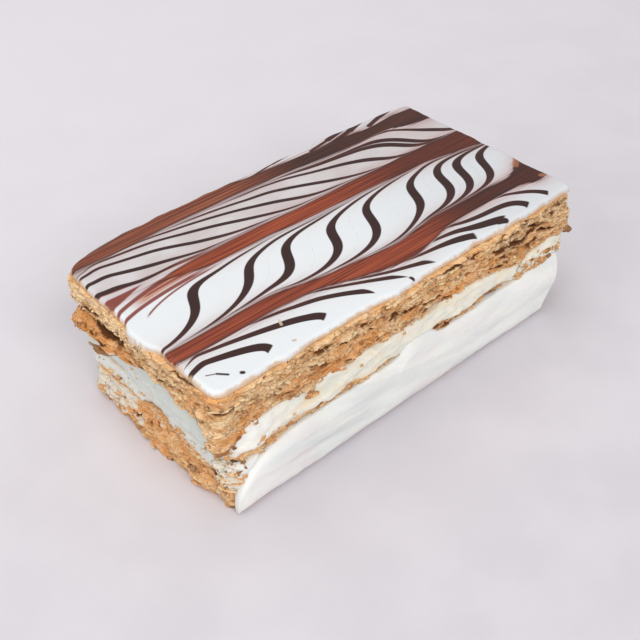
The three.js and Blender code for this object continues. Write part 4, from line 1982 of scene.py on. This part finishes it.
@dataclass
class Crumbs:
    """Small nuggets of pastry that stick to the cream and lie on its ledges.

    Attributes:
        seed: Number of their random draw.
        coated: Share of them that is coated with cream.
        burnt: Share of them that is dark.
        baked: Least value of their mark "bake".
    """

    seed: int
    coated: float = 0.1
    burnt: float = 0.15
    baked: float = 0.0

    def nuggets(self, spots: Array, sizes: Array) -> Surface:
        """Lumpy balls: rings of a sphere whose radius wavers at random.

        Args:
            spots: Their middles, shape (count, 3).
            sizes: Their radii.

        Returns:
            Their surface, with the marks of pastry.
        """
        random = np.random.default_rng(self.seed)
        count, turns, steps = len(spots), 8, 4
        lift = np.linspace(0, math.pi, steps + 2)[1:-1]
        around = np.arange(turns) * 2 * math.pi / turns
        ring = np.stack([
            np.sin(lift)[:, None] * np.cos(around),
            np.sin(lift)[:, None] * np.sin(around),
            -np.cos(lift)[:, None] * np.ones(turns),
        ], -1)
        radius = random.uniform(0.6, 1.25, (count, steps, turns, 1))
        squash = random.uniform((0.6, 0.6, 0.3), (1.6, 1.6, 0.8), (count, 1, 1, 3))
        body = ring * radius * squash * sizes[:, None, None, None] + spots[:, None, None]
        poles = np.array([[0, 0, -0.8], [0, 0, 0.8]]) * sizes[:, None, None] * squash[:, 0]
        poles = spots[:, None] + poles
        one = Surface.through(ring)
        each = steps * turns + 2
        points = np.concatenate([body.reshape(count, -1, 3), poles], 1)
        shift = each * np.arange(count)[:, None, None]
        faces = [(part[None] + shift).reshape(-1, part.shape[1]) for part in one.faces]
        tone = np.repeat(random.random((count, 2)), each, 0)
        marks = {
            "cleft": 0.5 * (tone[:, 0] > 1 - self.burnt),
            "pale_and_highlight": tone[:, 1] * 0.8,
            "bake": np.maximum(tone[:, 0] * 0.9, self.baked),
            "cream": 0.9 * (tone[:, 1] < self.coated),
        }
        return Surface(points.reshape(-1, 3), faces, marks)

    def stuck(
        self, surface: Surface, layer: Layer, count: int, box: Box, typical: float
    ) -> Surface:
        """Sticks crumbs to a layer's side, where it lies inside a box.

        Args:
            surface: The layer's surface.
            layer: The layer.
            count: Number of crumbs.
            box: The box's lowest and highest corner.
            typical: Their middle radius in millimetres.

        Returns:
            The crumbs' surface.
        """
        random = np.random.default_rng(self.seed)
        wall = surface.points[layer.start:layer.start + layer.rows * layer.columns]
        low, high = box
        inside = wall[((wall >= low) & (wall <= high)).all(1)]
        spots = inside[random.integers(0, len(inside), count)]
        sizes = typical * random.lognormal(0.0, 0.5, count).clip(0.4, 2.6)
        return self.nuggets(spots, sizes)


# ---- studio


@dataclass(frozen=True)
class Studio:
    """Pale floor, soft lights and the camera.

    Attributes:
        target: Place that the camera looks at, in millimetres.
        azimuth: Direction of the view in degrees; 0 looks along +Y.
        elevation: How far it looks down, in degrees.
        roll: Turn of the camera about its own axis.
        distance: Its distance from the target.
        focal_pixels: Focal length in pixels.
        picture_width: Width of the picture in pixels.
    """

    target: Place = (-10.85, -8.92, 18.53)
    azimuth: float = -41.42
    elevation: float = 39.93
    roll: float = -0.78
    distance: float = 245.5
    focal_pixels: float = 1011.4
    picture_width: float = 640.0

    def camera(self) -> None:
        """Sets up the camera."""
        azimuth, elevation, roll = map(math.radians, (self.azimuth, self.elevation, self.roll))
        back = Vector((
            math.sin(azimuth) * math.cos(elevation),
            -math.cos(azimuth) * math.cos(elevation),
            math.sin(elevation),
        ))
        right = (-back).cross(Vector((0, 0, 1))).normalized()
        up = right.cross(-back)
        turned_right = right * math.cos(roll) + up * math.sin(roll)
        turned_up = up * math.cos(roll) - right * math.sin(roll)
        camera = bpy.data.cameras.new("camera")
        camera.sensor_fit = "HORIZONTAL"
        camera.sensor_width = 36.0
        camera.lens = camera.sensor_width * self.focal_pixels / self.picture_width
        camera.clip_start, camera.clip_end = 0.01, 10.0
        stand = bpy.data.objects.new("camera", camera)
        turn = Matrix((turned_right, turned_up, back)).transposed().to_4x4()
        place = (Vector(self.target) + back * self.distance) * MM
        stand.matrix_world = Matrix.Translation(place) @ turn
        bpy.context.scene.collection.objects.link(stand)
        bpy.context.scene.camera = stand

    def light(self, name: str, place: Place, size: float, power: float, colour: Colour) -> None:
        """Adds a square soft light that faces the slice.

        Args:
            name: Name of the light.
            place: Where it hangs, in metres.
            size: Side of the square in metres.
            power: Power in watts.
            colour: Its colour.
        """
        lamp = bpy.data.lights.new(name, "AREA")
        lamp.size, lamp.energy, lamp.color = size, power, colour
        stand = bpy.data.objects.new(name, lamp)
        stand.location = place
        stand.rotation_euler = (-Vector(place)).to_track_quat("-Z", "Y").to_euler()
        bpy.context.scene.collection.objects.link(stand)

    def floor(self) -> None:
        """Lays the pale floor under the slice."""
        half, depth = 1500.0, -0.05
        around = np.array([(-1, -1), (1, -1), (1, 1), (-1, 1)])
        corners = np.concatenate([half * around, np.full((4, 1), depth)], -1)
        finish = Finish("pale_floor")
        mottle = finish.waves(26.0, 4.0)
        _, y, _ = finish.axes()
        # Painted shade: the floor turns darker towards the front.
        body = finish.mix(y.rise(-170.0, 260.0), (0.61, 0.585, 0.625), (0.76, 0.735, 0.77))
        body = finish.mix(mottle.rise(0.35, 0.65) * 0.25, body, (0.78, 0.755, 0.79))
        material = finish.set(base_color=body, roughness=0.9)
        Surface(corners, [np.array([[0, 1, 2, 3]])]).make("floor", material)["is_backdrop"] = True

    def make(self) -> None:
        """Sets up the whole studio."""
        self.floor()
        self.camera()
        self.light("key", (-0.25, -1.05, 0.95), 0.7, 8.7, (1.0, 0.99, 0.97))
        self.light("overhead", (-0.3, 0.5, 1.5), 1.2, 8.0, (1.0, 0.985, 0.96))
        self.light("left_fill", (-1.1, -0.15, 0.6), 0.7, 3.6, (1.0, 0.99, 0.98))
        world = bpy.data.worlds.new("studio")
        world.use_nodes = True
        sky = world.node_tree.nodes["Background"].inputs
        sky["Color"].default_value = (0.97, 0.97, 1.0, 1.0)
        sky["Strength"].default_value = 0.5
        bpy.context.scene.world = world
        bpy.context.scene.view_settings.view_transform = "Standard"


# ---- the whole slice


def show(
    name: str, surface: Surface, material: bpy.types.Material, slot: str, *nodes: str
) -> bpy.types.Object:
    """Makes a piece of the slice, sets it on its body and reports it.

    Args:
        name: Name of the piece.
        surface: Its surface.
        material: Its finish.
        slot: Slot that the finish belongs to; not used.
        *nodes: CAD nodes that the piece stands for.

    Returns:
        The piece.
    """
    piece = surface.make(name, material)
    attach(piece, BODY)
    if nodes:
        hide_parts(*nodes)
    triangles = sum(len(part) * (part.shape[1] - 2) for part in surface.faces)
    log.info("%s: %d triangles", name, triangles)
    return piece


def main() -> None:
    """Builds the slice, its loose bits and the studio."""
    logging.basicConfig(level=logging.INFO, format="%(name)s: %(message)s")
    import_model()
    whole = Slice()
    crust = CrustFinish("baked_crust").make()
    # The creams' far, fresh and cool colours are painted light and shade.
    custard = CreamFinish(
        "custard_cream", light=(0.88, 0.85, 0.74), shade=(0.78, 0.79, 0.68),
        warm=(0.86, 0.74, 0.52), left_end_shade=(0.60, 0.64, 0.60), far=(0.84, 0.80, 0.68),
        streak=(7.0, 3.0), tilt=4.0,
    ).make()
    whipped = CreamFinish(
        "whipped_cream", light=(0.84, 0.86, 0.82), shade=(0.70, 0.73, 0.72),
        warm=(0.80, 0.75, 0.73), left_end_shade=(0.72, 0.735, 0.68), far=(0.98, 0.98, 0.94),
        streak=(26.0, 5.0), tilt=-7.0,
    ).make()

    bottom = BottomPastry(
        whole, "bottom_pastry", Face.TABLE, Face.BOTTOM_PASTRY, margin=(-0.6, 1.2, -0.2, 1.2),
        columns=1400, rows=44, seed=51, bows=(3.6, 4.5), plies=5, crag=1.2,
    )
    middle = MiddlePastry(
        whole, "middle_pastry", Face.LOWER_CREAM, Face.MIDDLE_PASTRY,
        margin=(1.2, 1.2, 0.9, 1.2), columns=1500, rows=16, seed=71, bows=(1.4, 4.5),
        plies=2, crag=0.7, hang=0.4,
    )
    top = TopPastry(
        whole, "top_pastry", Face.UPPER_CREAM, Face.TOP_PASTRY, margin=(1.5, 1.5, 1.2, 1.1),
        columns=1560, rows=58, seed=91, bows=(3.4, 4.5), plies=7, crag=1.15, hang=1.2,
    )
    lower_cream = LowerCream(
        whole, "lower_cream", Face.BOTTOM_PASTRY, Face.LOWER_CREAM,
        margin=(0.1, 1.4, 2.6, 0.9), columns=560, rows=16, seed=61, bows=(1.0, 4.5),
        swell=0.6, lumps=0.45,
    )
    upper_cream = UpperCream(
        whole, "upper_cream", Face.MIDDLE_PASTRY, Face.UPPER_CREAM,
        margin=(0.2, 1.0, 0.5, 1.0), columns=900, rows=30, seed=81, bows=(1.0, 4.5),
        swell=0.7, lumps=0.72,
    )
    icing = Icing(
        whole, "icing", Face.TOP_PASTRY, Face.ICING, margin=(0, 0, 0, 0), columns=560, rows=2,
        seed=31,
    )

    solids = {sheet.node: sheet.surface() for sheet in (bottom, middle, top)}
    filling = upper_cream.surface()
    for node, solid in solids.items():
        show(f"{node}_sheet", solid, crust, "pastry", node)
    show("upper_cream_layer", filling, custard, "custard_cream", "upper_cream")
    lower_filling = lower_cream.surface()
    smeared = Surface.joined([lower_filling, lower_cream.smear()])
    show("lower_cream_layer", smeared, whipped, "whipped_cream", "lower_cream")
    fondant = FeatheredFondant(left=0.17 - whole.length / 2, back=0.03 + whole.width / 2).make()
    show("fondant_icing", icing.surface(), fondant, "icing", "icing")

    shards = []
    for sheet, count in ((bottom, 420), (middle, 120), (top, 1100)):
        shards.append(Flakes(count, sheet.seed + 30).grow(solids[sheet.node], sheet))
    flakes = bottom.fitted(Surface.joined(shards))
    show("pastry_flakes", flakes, crust, "pastry")

    everywhere = ((-99.0, -99.0, 0.0), (99.0, 99.0, 99.0))
    left_end = ((-99.0, -99.0, 0.0), (-50.0, 99.0, 99.0))
    corner = ((-99.0, -29.4, 1.5), (-51.0, -23.0, 24.0))
    right_line = ((36.5, -99.0, 18.0), (54.5, -28.0, 22.6))
    chunks = np.array([
        (-45.4, -30.6, 18.2, 1.6), (-44.2, -30.6, 17.0, 1.2), (-46.6, -30.3, 19.6, 0.9),
        (-32.0, -30.3, 22.8, 1.0), (-30.8, -30.2, 22.2, 0.6), (-33.2, -30.1, 22.4, 0.5),
    ])
    dark_bits = np.array([
        (54.2, -29.8, 26.2, 1.3), (55.4, -30.1, 25.4, 1.5), (56.6, -30.3, 24.6, 1.2),
        (57.4, -30.2, 24.0, 0.8), (-56.4, -17.2, 6.2, 1.1),
    ])
    upper, lower = (filling, upper_cream), (lower_filling, lower_cream)
    base = (solids[bottom.node], bottom)
    bits = [
        Crumbs(1).stuck(*upper, 40, everywhere, 0.24),
        Crumbs(2).stuck(*lower, 110, everywhere, 0.3),
        Crumbs(3, coated=0.6).stuck(*lower, 40, left_end, 0.5),
        Crumbs(4, coated=0.4, burnt=0.2).stuck(*lower, 120, corner, 0.3),
        Crumbs(5, coated=0.2, burnt=0.1, baked=0.3).stuck(*upper, 90, corner, 0.3),
        Crumbs(6, coated=0.4, burnt=0.15).stuck(*base, 80, corner, 0.35),
        Crumbs(9, coated=0.3, burnt=0.07, baked=0.4).stuck(*upper, 95, right_line, 0.5),
        Crumbs(7, coated=0.0, burnt=0.0, baked=0.6).nuggets(chunks[:, :3], chunks[:, 3]),
        Crumbs(8, coated=0.0, burnt=1.0).nuggets(dark_bits[:, :3], dark_bits[:, 3]),
    ]
    show("pastry_crumbs", bottom.fitted(Surface.joined(bits)), crust, "pastry")

    Studio().make()


if __name__ == "__main__":
    main()
